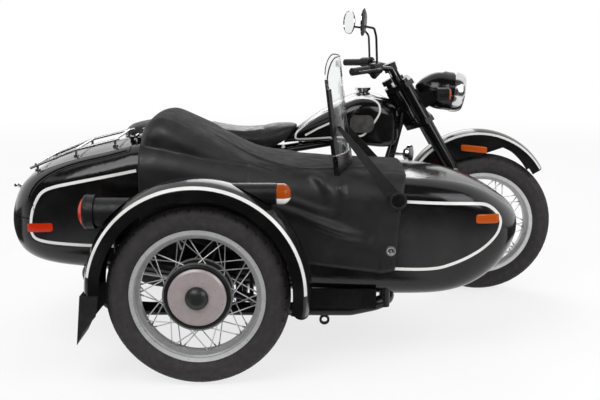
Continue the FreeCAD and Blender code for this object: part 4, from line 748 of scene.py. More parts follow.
def smooth_path(points: Line, closed: bool = False, steps: int = 10) -> list[tuple[float, float]]:
    """Points on a Catmull-Rom curve through flat points.

    Args:
        points: The points that the curve passes through.
        closed: Whether it returns to its start.
        steps: Curve points for each run.

    Returns:
        The curve's points.
    """
    count = len(points)
    result = []
    for run in range(count if closed else count - 1):
        places = range(run - 1, run + 3)
        keys = [points[k % count] if closed else points[min(max(k, 0), count - 1)] for k in places]
        for step in range(steps):
            t = step / steps
            blend = (-t + 2 * t**2 - t**3, 2 - 5 * t**2 + 3 * t**3, t + 4 * t**2 - 3 * t**3, -t**2 + t**3)
            result.append(tuple(0.5 * sum(b * key[k] for b, key in zip(blend, keys)) for k in (0, 1)))
    if not closed:
        result.append(points[-1])
    return result


def arc(x: float, z: float, radius: float, degrees: Iterable[float]) -> list[tuple[float, float]]:
    """Points on a circle about a place seen from the side."""
    turns = [math.radians(degree) for degree in degrees]
    return [(x + radius * math.cos(turn), z + radius * math.sin(turn)) for turn in turns]


class Skin:
    """The outside of some CAD nodes, found with rays."""

    def __init__(self, *nodes: str, middle: float = 0.0, far: float = 1700.0) -> None:
        """Gather the nodes' faces.

        Args:
            *nodes: The CAD nodes' names.
            middle: The Y of the middle plane from which the sides are counted.
            far: How far from that plane the sides are seen.
        """
        points, faces = [], []
        for node in nodes:
            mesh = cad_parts[node].data
            offset = len(points)
            points += [vertex.co.copy() for vertex in mesh.vertices]
            faces += [tuple(offset + i for i in polygon.vertices) for polygon in mesh.polygons]
        self.tree = BVHTree.FromPolygons(points, faces)
        self.middle = middle
        self.far = far

    def hit(self, start: Vector, direction: Vector) -> tuple[Vector, Vector] | None:
        """Cast a ray.

        Args:
            start: The ray's start.
            direction: The ray's direction.

        Returns:
            The point and the outward normal, or None where the ray misses.
        """
        place, normal, _, _ = self.tree.ray_cast(start, direction.normalized())
        if place is None:
            return None
        return place, -normal if normal.dot(direction) > 0 else normal

    def from_side(self, x: float, z: float, side: Side) -> tuple[Vector, Vector] | None:
        """The skin's point seen square from one side, at a design X and Z in millimetres."""
        return self.hit(LAYOUT.at(x, self.middle + side.value * self.far, z), -side.out)


def tub_skin(*nodes: str) -> Skin:
    """A skin seen from beside the tub, so that the motorcycle is out of the way."""
    return Skin(*nodes, middle=TUB_MIDDLE, far=600.0)


def ribbon(skin: Skin, path: list[tuple[float, float]], width: float, side: Side,
           closed: bool = False, lift: float = 0.0006) -> Mesh:
    """A thin painted strip that lies on the skin along a path seen from the side.

    Args:
        skin: What it lies on.
        path: Its middle line as design (X, Z) points in millimetres.
        width: Its width in millimetres.
        side: The side that it is seen from.
        closed: Whether the line returns to its start.
        lift: Its thickness in metres.

    Returns:
        The strip's mesh.
    """
    count = len(path)
    sunk = 0.0003
    points = []
    for index, (x, z) in enumerate(path):
        before = path[index - 1] if index or closed else path[0]
        after = path[(index + 1) % count] if index < count - 1 or closed else path[-1]
        along = Vector((after[0] - before[0], after[1] - before[1])).normalized()
        across = Vector((-along.y, along.x)) * width / 2.0
        found = [skin.from_side(x + share * across.x, z + share * across.y, side)
                 for share in (-1.0, 0.0, 1.0)]
        if None not in found:
            points += [place + normal * lift for place, normal in found]
            points += [place - normal * sunk for place, normal in reversed(found)]
    return mesh_of("ribbon", points, grid_faces(len(points) // 6, 6, ring=closed))


def reflector_tile(skin: Skin, span_x: tuple[float, float], span_z: tuple[float, float], side: Side,
                   slope: float, thick: float = 0.005) -> Mesh:
    """A rounded lens that follows the skin inside a rectangle seen from the side.

    Args:
        skin: What it lies on.
        span_x: Its first and last X in millimetres.
        span_z: Its lowest and highest Z in millimetres.
        side: The side that it is seen from.
        slope: Its rise in Z for each step of X.
        thick: How far it stands proud, in metres.

    Returns:
        The mesh.
    """
    columns, rows = 16, 8
    sunk = 0.0004
    outer, inner = [], []
    for i in range(columns + 1):
        u = i / columns
        for j in range(rows + 1):
            v = j / rows
            pull_x = 1.0 - 0.06 * (2 * abs(v - 0.5)) ** 6
            pull_z = 1.0 - 0.12 * (2 * abs(u - 0.5)) ** 8
            x = span_x[0] + (span_x[1] - span_x[0]) * (0.5 + (u - 0.5) * pull_x)
            z = span_z[0] + (span_z[1] - span_z[0]) * (0.5 + (v - 0.5) * pull_z)
            place, normal = skin.from_side(x, z + slope * (x - sum(span_x) / 2.0), side)
            edge = min(1.0, 8.0 * min(u, 1.0 - u), 4.0 * min(v, 1.0 - v))
            outer.append(place + normal * thick * (0.45 + 0.55 * math.sin(edge * math.pi / 2.0)))
            inner.append(place - normal * sunk)
    total = len(outer)
    width = rows + 1
    faces = grid_faces(columns + 1, width, tube=False)
    faces += [tuple(total + k for k in reversed(face)) for face in faces]
    rim = [i * width for i in range(columns + 1)] + [columns * width + j for j in range(1, width)]
    rim += [i * width + rows for i in range(columns - 1, -1, -1)] + list(range(rows - 1, 0, -1))
    faces += [(first, total + first, total + second, second) for first, second in zip(rim, rim[1:] + rim[:1])]
    return mesh_of("tile", outer + inner, faces)


def settle(piece: bpy.types.Object) -> None:
    """Apply a piece's modifiers to its mesh.

    Args:
        piece: The piece.
    """
    graph = bpy.context.evaluated_depsgraph_get()
    mesh = bpy.data.meshes.new_from_object(piece.evaluated_get(graph))
    piece.modifiers.clear()
    piece.data = mesh


def swell(piece: bpy.types.Object, pressure: float, frames: int = 14) -> None:
    """Swell a closed mesh with the cloth simulation.

    Args:
        piece: The piece, which keeps its vertex order.
        pressure: The cloth's inner pressure.
        frames: How many frames are run.
    """
    cloth = piece.modifiers.new("cloth", "CLOTH")
    cloth.settings.quality = 5
    cloth.settings.mass = 0.4
    cloth.settings.tension_stiffness = 20.0
    cloth.settings.compression_stiffness = 20.0
    cloth.settings.use_pressure = True
    cloth.settings.uniform_pressure_force = pressure
    cloth.settings.effector_weights.gravity = 0.0
    cloth.point_cache.frame_start = 1
    cloth.point_cache.frame_end = frames
    scene = bpy.context.scene
    for step in range(1, frames + 1):
        scene.frame_set(step)
    settle(piece)
    scene.frame_set(1)


def dress(finish: Finish, *nodes: str) -> None:
    """Give CAD nodes their finish.

    Args:
        finish: The finish.
        *nodes: The nodes' names.
    """
    for node in nodes:
        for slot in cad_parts[node].material_slots:
            slot.material = finish.material()
        LOG.info("%s: finished as %s", node, finish.name)


# Sub-assemblies


@dataclass
class PhotoCamera:
    """The camera at the photograph's place, for a frame of 600 by 400."""

    place: tuple[float, float, float] = (688.8, -4177.0, 1309.8)
    yaw: float = -0.0120
    pitch: float = 0.2067
    roll: float = -0.0016
    focal: float = 891.65
    width: float = 600.0

    def make(self) -> None:
        """Create the camera and make it the scene's own."""
        level = Vector((math.cos(self.yaw), -math.sin(self.yaw), 0.0))
        ahead = Vector((math.sin(self.yaw), math.cos(self.yaw), 0.0)) * math.cos(self.pitch)
        ahead.z = -math.sin(self.pitch)
        above = level.cross(ahead)
        right = math.cos(self.roll) * level + math.sin(self.roll) * above
        up = -math.sin(self.roll) * level + math.cos(self.roll) * above
        camera = bpy.data.cameras.new("camera")
        camera.sensor_width = 36.0
        camera.lens = self.focal / self.width * camera.sensor_width
        camera.clip_end = 120.0
        holder = placed("camera", camera)
        turn = Matrix((right, up, -ahead)).transposed().to_4x4()
        holder.matrix_world = Matrix.Translation(LAYOUT.at(*self.place)) @ turn
        bpy.context.scene.camera = holder
        LOG.info("camera: lens %.2f mm", camera.lens)


@dataclass
class Studio:
    """The pale floor, the white surroundings, the soft lamps and the dark sheets that black paint mirrors."""

    floor_half: float = 40.0
    glow_near: float = 0.76
    fade: tuple[float, float] = (2.6, 8.0)
    sky: float = 0.55
    flag_radius: float = 8.0
    flag_top: float = 8.0
    flag_steps: int = 48
    flag_share: float = 0.95
    slit: tuple[float, float] = (4.4, 6.9)
    carpet_from: float = 2.75
    rug_x: tuple[float, float] = (-540.0, 1200.0)
    rug_edge: float = -1350.0
    lamp_aim: tuple[float, float, float] = (600.0, -600.0, 500.0)

    def floor(self) -> None:
        """Build the floor, which keeps a soft shadow."""
        corners = ((-1, -1), (1, -1), (1, 1), (-1, 1))
        mesh = mesh_of("floor", [Vector((x, y, 0.0)) * self.floor_half for x, y in corners], [(0, 1, 2, 3)])
        material = bpy.data.materials.new("floor_paper")
        nodes = NodeSketch(material)
        patch = nodes.between(nodes.speckle(3.0), 0.0, 1.0)
        nodes.set(Base_Color=nodes.tint(patch, grey(0.93), grey(0.95)), Roughness=0.9)
        away = nodes.add("VectorMath", operation="LENGTH")
        nodes.feed(away.inputs[0], nodes.place())
        share = nodes.between(away.outputs["Value"], self.glow_near, 1.0, *self.fade)
        glow = nodes.add("Emission")
        nodes.feed(glow.inputs["Strength"], 1.0)
        nodes.show(nodes.product(nodes.seen(), share), nodes.shader.outputs[0], glow.outputs[0])
        mesh.materials.append(material)
        placed("floor", mesh)

    def surroundings(self) -> None:
        """Set the world: white where it is seen or mirrored, softer as a light."""
        world = bpy.data.worlds.new("studio")
        nodes = NodeSketch(world)
        nodes.set(Color=grey(1.0), Strength=nodes.between(nodes.seen(), self.sky, 1.0, 0.0, 1.0))
        bpy.context.scene.world = world

    def flag(self, name: str, before: bool, profile: Line) -> None:
        """Build one dark sheet round half of the set that only mirrored rays meet.

        Args:
            name: The sheet's name.
            before: Whether it stands before the set, on the camera's side.
            profile: Its (distance from the set's middle, height) points in metres.
        """
        middle = LAYOUT.at(600.0, -500.0, 0.0)
        count = self.flag_steps + 1
        first = math.pi if before else 0.0
        turns = [first + math.pi * k / self.flag_steps for k in range(count)]
        points = [middle + Vector((reach * math.cos(turn), reach * math.sin(turn), height))
                  for reach, height in profile for turn in turns]
        mesh = mesh_of(name, points, grid_faces(len(profile), count, tube=False))
        mesh.materials.append(self.felt(middle, self.carpet_from if before else profile[0][0], before))
        placed(name, mesh)

    def felt(self, middle: Vector, inner: float, before: bool) -> bpy.types.Material:
        """The sheets' material: black felt to mirrored rays, soft at its edges, and clear to all others.

        Args:
            middle: The set's middle.
            inner: The distance from the middle where the carpet begins.
            before: Whether the sheet stands before the set, where a rug lies and a slit lets light in.

        Returns:
            The material.
        """
        material = bpy.data.materials.new("flag_felt")
        nodes = NodeSketch(material)
        nodes.set(Base_Color=nodes.tint(nodes.speckle(2.0), grey(0.010), grey(0.018)), Roughness=1.0,
                  Specular_IOR_Level=0.0)
        place = nodes.axes()
        apart = nodes.add("VectorMath", operation="DISTANCE")
        nodes.feed(apart.inputs[0], nodes.place())
        nodes.feed(apart.inputs[1], middle)
        near = nodes.between(apart.outputs["Value"], 0.0, 1.0, inner, inner + 0.25)
        wall = nodes.between(place["Z"], 1.0, 0.0, self.slit[0], self.slit[0] + 0.6)
        roof = nodes.between(place["Z"], 0.0, 1.0, self.slit[1] - 0.6, self.slit[1])
        share = nodes.product(near, nodes.maths("MAXIMUM", wall, roof))
        if before:
            ahead = nodes.between(place["Y"], 1.0, 0.0, middle.y - 1.5, middle.y - 0.2)
            rear, front = (LAYOUT.at(x, self.rug_edge, 0.0) for x in self.rug_x)
            rug = nodes.product(nodes.between(place["X"], 0.0, 1.0, rear.x - 0.1, rear.x + 0.1),
                                nodes.between(place["X"], 1.0, 0.0, front.x - 0.12, front.x + 0.12),
                                nodes.between(place["Y"], 1.0, 0.0, rear.y - 0.25, rear.y))
            share = nodes.maths("MAXIMUM", nodes.product(share, ahead), rug)
        rays = nodes.add("LightPath").outputs
        direct = nodes.maths("SUBTRACT", 1.0, rays["Is Transmission Ray"])
        share = nodes.product(share, rays["Is Glossy Ray"], direct, self.flag_share)
        nodes.show(share, nodes.add("BsdfTransparent").outputs[0], nodes.shader.outputs[0])
        return material

    def flags(self) -> None:
        """Build the dark sheets: rug, carpet, slit wall and roof before the set, and a carpet behind it."""
        reach, top = self.flag_radius, self.flag_top
        self.flag("flag_before", True, ((0.7, 0.012), (reach, 0.014), (reach, top), (0.3, top + 0.6)))
        self.flag("flag_behind", False, ((1.75, 0.012), (4.2, 0.014)))

    def lamps(self) -> None:
        """Place the soft lamps."""
        for name, place, size, power in (("key", (-900, -3200, 3300), 2.4, 78.0),
                                         ("fill", (3300, -2600, 2200), 2.2, 46.0),
                                         ("rim", (700, 3000, 2900), 2.6, 70.0)):
            light = bpy.data.lights.new(name, "AREA")
            light.size = size
            light.energy = power
            holder = placed(name, light)
            holder.location = LAYOUT.at(*place)
            aim = LAYOUT.at(*self.lamp_aim) - holder.location
            holder.rotation_mode = "QUATERNION"
            holder.rotation_quaternion = aim.to_track_quat("-Z", "Y")

    def make(self) -> None:
        """Build the whole set."""
        self.floor()
        self.surroundings()
        self.flags()
        self.lamps()
        bpy.context.scene.view_settings.view_transform = "Standard"


@dataclass
class WireWheel:
    """A wheel: its treaded tyre, spoke nipples, valve and the finish of its metal."""

    name: str
    body: Body
    x: float
    y: float
    crown_half: float = 44.0
    crown_edge: float = 313.0
    tread_half: float = 48.0
    tread_depth: float = 4.5
    bead: float = 226.3
    bead_half: float = 34.7
    blocks: int = 46
    steps: int = 12
    spokes: int = 20
    lean: float = 26.0
    flank: Line = ((-34.7, 244.5), (-40.5, 251), (-46, 259), (-47.8, 261), (-50.3, 264), (-52.2, 275),
                   (-53, 286), (-52.6, 292), (-53.4, 294), (-52.9, 297), (-50.4, 303), (-47.6, 309))

    def axle(self) -> Vector:
        """The wheel's centre."""
        return LAYOUT.at(self.x, self.y, TYRE_RADIUS)

    def profile(self) -> list[tuple[float, float]]:
        """The tyre's outside, from bead to bead.

        Returns:
            Points of (Y offset, radius) in millimetres.
        """
        crown = []
        rise = TYRE_RADIUS - self.crown_edge
        for k in range(-19, 20):
            bow = math.cos(k / 19.0 * math.pi / 2.0) ** 0.92
            crown.append((self.crown_half * k / 19.0, self.crown_edge + rise * bow))
        return [*self.flank, *crown, *((-offset, radius) for offset, radius in reversed(self.flank))]

    def groove(self, offset: float, turn: float) -> float:
        """How deep the tread is cut at a place.

        Args:
            offset: The distance from the tyre's middle plane in millimetres.
            turn: The place round the tyre in blocks.

        Returns:
            The depth in millimetres.
        """
        out = abs(offset)
        if out > self.tread_half:
            return 0.0
        wave = abs((turn % 1.0) * 2.0 - 1.0) * 2.0 - 1.0
        depth = 0.0
        for middle, swing, half in ((11.0, 3.5, 1.6), (28.0, -3.0, 1.2)):
            for sign in (-1.0, 1.0):
                apart = abs(offset - sign * middle - swing * wave)
                depth = max(depth, 1.0 - max(0.0, apart - half) / 1.4)
        slot = abs(((turn + 0.5 * (out > 28.0)) % 1.0) - 0.5) * 45.0
        if out > 29.0 or 12.0 < out < 27.0:
            depth = max(depth, 1.0 - max(0.0, slot - 1.8) / 1.6)
        return self.tread_depth * min(1.0, max(0.0, depth)) * min(1.0, (self.tread_half + 1.0 - out) / 3.0)

    def tyre(self) -> None:
        """Build the tyre in place of the plain one."""
        section = [*self.profile(), (self.bead_half, self.bead), (-self.bead_half, self.bead)]
        total = self.blocks * self.steps
        centre = self.axle()
        points = []
        for step in range(total):
            angle = 2.0 * math.pi * step / total
            out = Vector((math.cos(angle), 0.0, math.sin(angle)))
            for offset, radius in section:
                cut = self.groove(offset, step / self.steps) if radius > 300.0 else 0.0
                points.append(centre + out * (radius - cut) / 1000.0 + Vector((0, offset / 1000.0, 0)))
        mesh = mesh_of("tyre", points, grid_faces(total, len(section), ring=True))
        tyre = new_piece(f"{self.name}_tyre_treaded", mesh, FINISH.tyre, self.body)
        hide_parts(f"{self.name}_tyre")

    def nipples(self) -> None:
        """Build the nipples that draw the spokes into the rim, and the tyre's valve."""
        meshes = []
        centre = self.axle()
        nipple = [(0.0, 0.0023), (0.001, 0.0031), (0.013, 0.0034), (0.0145, 0.0027)]
        valve = [(0.0, 0.0024), (0.004, 0.0028), (0.022, 0.0028), (0.024, 0.004), (0.036, 0.004)]
        for side in Side:
            shift = 0.5 if side is Side.LEFT else 0.0
            for index in range(self.spokes):
                hub = math.radians(360.0 / self.spokes * (index + shift))
                rim = hub + math.radians(self.lean if index % 2 == 0 else -self.lean)
                inner = Vector((119.0 * math.cos(hub), side.value * 33.5, 119.0 * math.sin(hub)))
                outer = Vector((211.0 * math.cos(rim), side.value * 6.0, 211.0 * math.sin(rim)))
                along = (outer - inner).normalized()
                meshes.append(lathe(nipple, centre + (outer - along * 16.0) / 1000.0, along, 8))
        stem = Vector((math.cos(1.9), 0.0, math.sin(1.9)))
        meshes.append(lathe(valve, centre + stem * 0.2095, -stem, 12))
        new_piece(f"{self.name}_spoke_nipples", joined("nipples", meshes), FINISH.steel, self.body)

    def hub(self) -> None:
        """Build the thick dark ring between the hub's drum and its flange, which stands in for the shade in
        the gap there.
        """
        section = [(0.0355, 0.1045), (0.0415, 0.1045), (0.0445, 0.1065), (0.0450, 0.1110), (0.0430, 0.1160),
                   (0.0395, 0.1185), (0.0355, 0.1190)]
        # Painted shade: a dark plastic ring is put where the gap only holds shade.
        band = lathe(section, self.axle(), Side.RIGHT.out, 96, ring=True)
        new_piece(f"{self.name}_hub_ring", band, FINISH.plastic, self.body)

    def make(self) -> None:
        """Dress the whole wheel."""
        self.tyre()
        self.nipples()
        self.hub()
        metal = WheelMetal(f"{self.name}_wheel_metal", (0.36, 0.31, 0.31), axle=self.axle())
        dress(metal, f"{self.name}_wire_wheel")


@dataclass
class FrontEnd:
    """What steers: fork, bars, headlamp, mirrors and the front mudguard's trim."""

    lamp: tuple[float, float, float] = (1344.0, 0.0, 951.0)
    lamp_tilt: float = 8.0
    guard: tuple[float, float] = (1469.0, 421.0)
    stripe_radius: float = 340.0
    stripe_width: float = 9.0
    mirror_heads: tuple[tuple[tuple[float, float, float], tuple[float, float, float]], ...] = (
        ((916.0, -335.0, 1272.0), (-0.98, 0.20, 0.05)), ((884.0, 335.0, 1264.0), (-0.90, -0.44, 0.05)))
    flasher: tuple[float, float, float] = (1308.5, 152.3, 952.2)

    def headlamp(self) -> None:
        """Build the bezel, the fluted glass, the reflector and the bulb."""
        tilt = math.radians(self.lamp_tilt)
        ahead = Vector((math.cos(tilt), 0.0, -math.sin(tilt)))
        back = LAYOUT.at(*self.lamp) + ahead * 0.0003
        bezel = [(0.0, 0.0915), (0.003, 0.092), (0.014, 0.092), (0.024, 0.0912), (0.036, 0.0885),
                 (0.046, 0.084), (0.052, 0.079), (0.0515, 0.0775), (0.044, 0.0785), (0.03, 0.083),
                 (0.012, 0.0865), (0.0, 0.0865)]
        glass = [(0.0605, 0.0005), (0.0585, 0.03), (0.053, 0.055), (0.047, 0.0765), (0.0495, 0.078),
                 (0.0565, 0.056), (0.0625, 0.03), (0.0645, 0.0005)]
        bowl = [(0.002, 0.0005), (0.004, 0.02), (0.012, 0.045), (0.028, 0.066), (0.045, 0.0755),
                (0.0435, 0.0765), (0.026, 0.0675), (0.010, 0.0465), (0.002, 0.021), (0.0008, 0.0005)]
        bulb = [(0.0035, 0.010), (0.012, 0.010), (0.014, 0.007), (0.026, 0.0075), (0.033, 0.0055),
                (0.0355, 0.001)]
        rim = new_piece("headlamp_bezel", lathe(bezel, back, ahead, 96, ring=True), FINISH.chrome, Body.FORK)
        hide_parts("headlamp_lens")
        new_piece("headlamp_glass", lathe(glass, back, ahead, 96), FINISH.lamp, Body.FORK)
        new_piece("headlamp_reflector", lathe(bowl, back, ahead, 72), FINISH.reflector, Body.FORK)
        new_piece("headlamp_bulb", lathe(bulb, back, ahead, 24), FINISH.chrome, Body.FORK)

    def mirrors(self) -> None:
        """Build the mirrors' glass discs and their lips."""
        glass = [(0.0059, 0.053), (0.0066, 0.0535), (0.0070, 0.0525)]
        lip = [(0.0059, 0.0545), (0.0085, 0.055), (0.0085, 0.0575), (0.0059, 0.0578)]
        meshes = []
        for place, way in self.mirror_heads:
            meshes.append(lathe(glass, LAYOUT.at(*place), Vector(way)))
            meshes.append(lathe(lip, LAYOUT.at(*place), Vector(way), ring=True))
        new_piece("mirror_glasses", joined("mirrors", meshes), FINISH.mirror, Body.FORK)

    def flasher_lenses(self) -> None:
        """Build the amber lenses of the front flashers."""
        x, y, z = self.flasher
        profile = [(0.0002, 0.0275), (0.004, 0.0272), (0.0085, 0.0225), (0.011, 0.012), (0.0116, 0.002)]
        meshes = [lathe(profile, LAYOUT.at(x, side.value * y, z), FORWARD, 40) for side in Side]
        new_piece("front_flasher_lenses", joined("lenses", meshes), FINISH.amber, Body.FORK)

    def guard_trim(self) -> None:
        """Paint the mudguard's edge stripes and set its reflectors."""
        skin = Skin("front_fender")
        edge = arc(*self.guard, self.stripe_radius, range(31, 190, 2))
        for side in Side:
            stripe = ribbon(skin, edge, self.stripe_width, side)
            new_piece(f"front_guard_stripe_{side.word}", stripe, FINISH.white, Body.FORK)
            tile = reflector_tile(skin, (1388.0, 1509.0), (676.0, 706.0), side, -0.10)
            new_piece(f"front_guard_reflector_{side.word}", tile, FINISH.amber, Body.FORK)

    def make(self) -> None:
        """Dress the front end."""
        self.headlamp()
        self.mirrors()
        self.flasher_lenses()
        self.guard_trim()
        dress(FINISH.fork, "fork_legs")
        dress(FINISH.chassis_black, "fork_yokes", "handlebar")
        dress(FINISH.rubber, "grips")
        dress(FINISH.plastic, "controls", "mirrors", "speedometer", "front_indicators")
        dress(FINISH.black, "headlamp_shell", "front_fender")
        dress(FINISH.lamp, "headlamp_lens")


@dataclass
class Motorcycle:
    """The motorcycle's fixed pieces: engine fasteners, tank lining with a painted highlight line, saddle and
    rear lenses.
    """

    crank_x: float = 800.0
    crank_z: float = 395.0
    cover_depth: float = 162.0
    cover_bolts: float = 78.0
    stagger: float = 19.0
    engine_half: float = 388.0
    case_half: float = 122.0
    tube_length: float = 0.135
    lining_width: float = 8.5
    lining_lift: float = 0.0004
    lining: Line = (
        (619, 748), (635, 779), (718, 843), (788, 888), (849, 916), (905, 931), (955, 930), (989, 915),
        (1002, 893), (1000, 862), (976, 822), (952, 790), (926, 766), (885, 759), (823, 757), (718, 745),
        (655, 739), (629, 738))
    # Painted highlight: the points of a white line where a crease catches the light.
    crease_highlight: Line = ((664, 757), (700, 778), (732, 796), (809, 834))
    voxel: float = 0.007
    pressure: float = 3.0
    most_swell: float = 0.008
    seams: tuple[float, float] = (215.0, 470.0)
    seam_depth: float = 0.004
    guard_radius: float = 362.3
    guard_z: float = 326.0
    lamp_angle: float = 158.0

    def bolts(self) -> None:
        """Build the cover's and the heads' bolts and the push-rod tubes."""
        head = [(-0.001, 0.0075), (0.001, 0.0075), (0.0012, 0.0055), (0.006, 0.0055), (0.0066, 0.0046)]
        end = self.tube_length
        tube = [(0.0, 0.012), (0.012, 0.012), (0.014, 0.0085), (end - 0.014, 0.0085), (end - 0.012, 0.012),
                (end, 0.012)]
        face = self.crank_x + self.cover_depth
        places = arc(0.0, self.crank_z, self.cover_bolts, (45.0 * k + 22.5 for k in range(8)))
        meshes = [lathe(head, LAYOUT.at(face, y, z), FORWARD, 6) for y, z in places]
        for side in Side:
            x = self.crank_x + side.value * self.stagger
            for shift in (-50.0, 50.0):
                place = LAYOUT.at(x + shift, side.value * self.engine_half, self.crank_z)
                meshes.append(lathe(head, place - side.out * 0.003, side.out, 6))
            for shift in (-24.0, 24.0):
                start = LAYOUT.at(x + shift, side.value * self.case_half, self.crank_z - 80.0)
                meshes.append(lathe(tube, start, side.out, 20))
        new_piece("engine_fasteners", joined("bolts", meshes), FINISH.steel)

    def tank_lining(self) -> None:
        """Paint the tank's fine lines: the looped lining, and a white line of painted highlight along the
        crease at the knee pad's edge.
        """
        skin = Skin("fuel_tank")
        width, lift = self.lining_width, self.lining_lift
        loop = smooth_path(self.lining, closed=True, steps=8)
        # Painted highlight: white paint along the crease at the knee pad's edge.
        crease_highlight = smooth_path(self.crease_highlight)
        for side in Side:
            lining = ribbon(skin, loop, width, side, closed=True, lift=lift)
            new_piece(f"tank_lining_{side.word}", lining, FINISH.white)
            new_piece(f"tank_wedge_{side.word}", ribbon(skin, crease_highlight, width, side, lift=lift), FINISH.white)

    def saddle(self) -> None:
        """Build the padded saddle from its solid, swollen as upholstery is, with two pressed seams."""
        pad = placed("saddle_padded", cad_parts["saddle"].data.copy())
        bpy.context.view_layer.objects.active = pad
        remesh = pad.modifiers.new("remesh", "REMESH")
        remesh.mode = "VOXEL"
        remesh.voxel_size = self.voxel
        settle(pad)
        rest = [vertex.co.copy() for vertex in pad.data.vertices]
        swell(pad, self.pressure)
        edit = bmesh.new()
        edit.from_mesh(pad.data)
        low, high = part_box("saddle")
        for vertex, before in zip(edit.verts, rest):
            move = vertex.co - before
            if move.length > self.most_swell:
                vertex.co = before + move.normalized() * self.most_swell
            vertex.co.z = max(vertex.co.z, low.z)
            if vertex.co.z > high.z - 0.05 and vertex.normal.z > 0.3:
                along = (vertex.co.x - LAYOUT.origin.x) * 1000.0
                for seam in self.seams:
                    vertex.co.z -= self.seam_depth * math.exp(-((along - seam) / 5.5) ** 2)
        edit.to_mesh(pad.data)
        edit.free()
        finer = pad.modifiers.new("finer", "SUBSURF")
        finer.levels = finer.render_levels = 1
        settle(pad)
        mesh = pad.data
        mesh.materials.clear()
        mesh.materials.append(FINISH.saddle.material())
        mesh.shade_smooth()
        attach(pad, Body.CHASSIS.value)
        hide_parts("saddle")
        LOG.info("saddle_padded: %d faces", len(mesh.polygons))

    def rear_lenses(self) -> None:
        """Build the lenses of the tail lamp and the rear flashers."""
        x, z = arc(0.0, self.guard_z, self.guard_radius, [self.lamp_angle])[0]
        red = [(0.0002, 0.034), (0.005, 0.0335), (0.009, 0.028), (0.011, 0.014), (0.0114, 0.002)]
        tail = lathe(red, LAYOUT.at(x - 46.0, 0.0, z + 8.0), Vector((-48.0, 0.0, 8.0)), 40)
        new_piece("rear_tail_lens", tail, FINISH.red)
        amber = [(0.0002, 0.0272), (0.004, 0.0268), (0.0085, 0.022), (0.011, 0.012), (0.0116, 0.002)]
        meshes = [lathe(amber, LAYOUT.at(x - 40.0, side.value * 120.0, z + 6.0), -FORWARD, 40)
                  for side in Side]
        new_piece("rear_flasher_lenses", joined("lenses", meshes), FINISH.amber)

    def make(self) -> None:
        """Dress the motorcycle."""
        self.bolts()
        self.tank_lining()
        self.saddle()
        self.rear_lenses()
        dress(FINISH.chassis_black, "bike_frame", "rear_swingarm", "shock_absorbers")
        dress(FINISH.cast, "engine_case", "cylinders", "intake")
        dress(FINISH.chrome, "exhaust_pipes", "rear_lamps", "fuel_cap", "horn")
        dress(FINISH.black, "rear_fender", "fuel_tank", "side_covers")
        dress(FINISH.pad, "knee_pads")
        dress(FINISH.saddle, "saddle")
        dress(FINISH.steel, "foot_controls")


@dataclass
class SidecarTub:
    """The sidecar's body: looped stripes and reflectors."""

    stripe_width: float = 11.0
    nose: Line = (
        (985, 635), (1050, 633), (1110, 630), (1166, 627), (1243, 623), (1300, 618), (1338, 611),
        (1368, 595), (1394, 569), (1406, 541), (1399, 507), (1377, 478), (1338, 448), (1290, 423),
        (1243, 404), (1200, 390), (1166, 382), (1120, 378), (1059, 378), (980, 381))
    tail: Line = (
        (54, 749), (-65, 725), (-167, 705), (-255, 685), (-302, 663), (-330, 626), (-350, 579), (-358, 530),
        (-354, 501), (-335, 484), (-277, 475), (-117, 467), (-20, 465))

    def stripes(self) -> None:
        """Paint the looped stripes of nose and tail on both flanks."""
        skin = tub_skin("sidecar_body", "trunk_lid")
        for side in Side:
            for end, points in (("nose", self.nose), ("tail", self.tail)):
                stripe = ribbon(skin, smooth_path(points, steps=12), self.stripe_width, side)
                new_piece(f"tub_{end}_stripe_{side.word}", stripe, FINISH.white)

    def reflectors(self) -> None:
        """Set the amber reflectors of the nose and the red ones of the tail."""
        skin = tub_skin("sidecar_body")
        for side in Side:
            for end, span_x, span_z, slope, finish in (
                    ("nose", (1303.0, 1397.0), (540.0, 575.0), -0.09, FINISH.amber),
                    ("tail", (-374.0, -266.0), (512.0, 545.0), 0.10, FINISH.red)):
                tile = reflector_tile(skin, span_x, span_z, side, slope)
                new_piece(f"tub_{end}_reflector_{side.word}", tile, finish)

    def make(self) -> None:
        """Dress the tub."""
        self.stripes()
        self.reflectors()
        dress(FINISH.black, "sidecar_body")
        dress(FINISH.steel, "hinge_pins")


@dataclass(frozen=True)
class Fold:
    """A long soft fold of the cover along design points, in millimetres."""

    points: tuple[tuple[float, float, float], ...]
    height: float
    width: float

    def lift(self, place: Vector) -> float:
        """How far the fold raises the cloth at a place.

        Args:
            place: The design place in millimetres.

        Returns:
            The height in millimetres.
        """
        best, share = 1.0e9, 0.0
        runs = len(self.points) - 1
        for index, ends in enumerate(zip(self.points, self.points[1:])):
            start, end = (Vector(point) for point in ends)
            run = end - start
            t = min(1.0, max(0.0, (place - start).dot(run) / run.length_squared))
            apart = (place - start - run * t).length
            if apart < best:
                best, share = apart, (index + t) / runs
        fade = math.sin(math.pi * min(0.97, share + 0.03)) ** 0.6
        return self.height * math.exp(-(best / self.width) ** 2) * fade


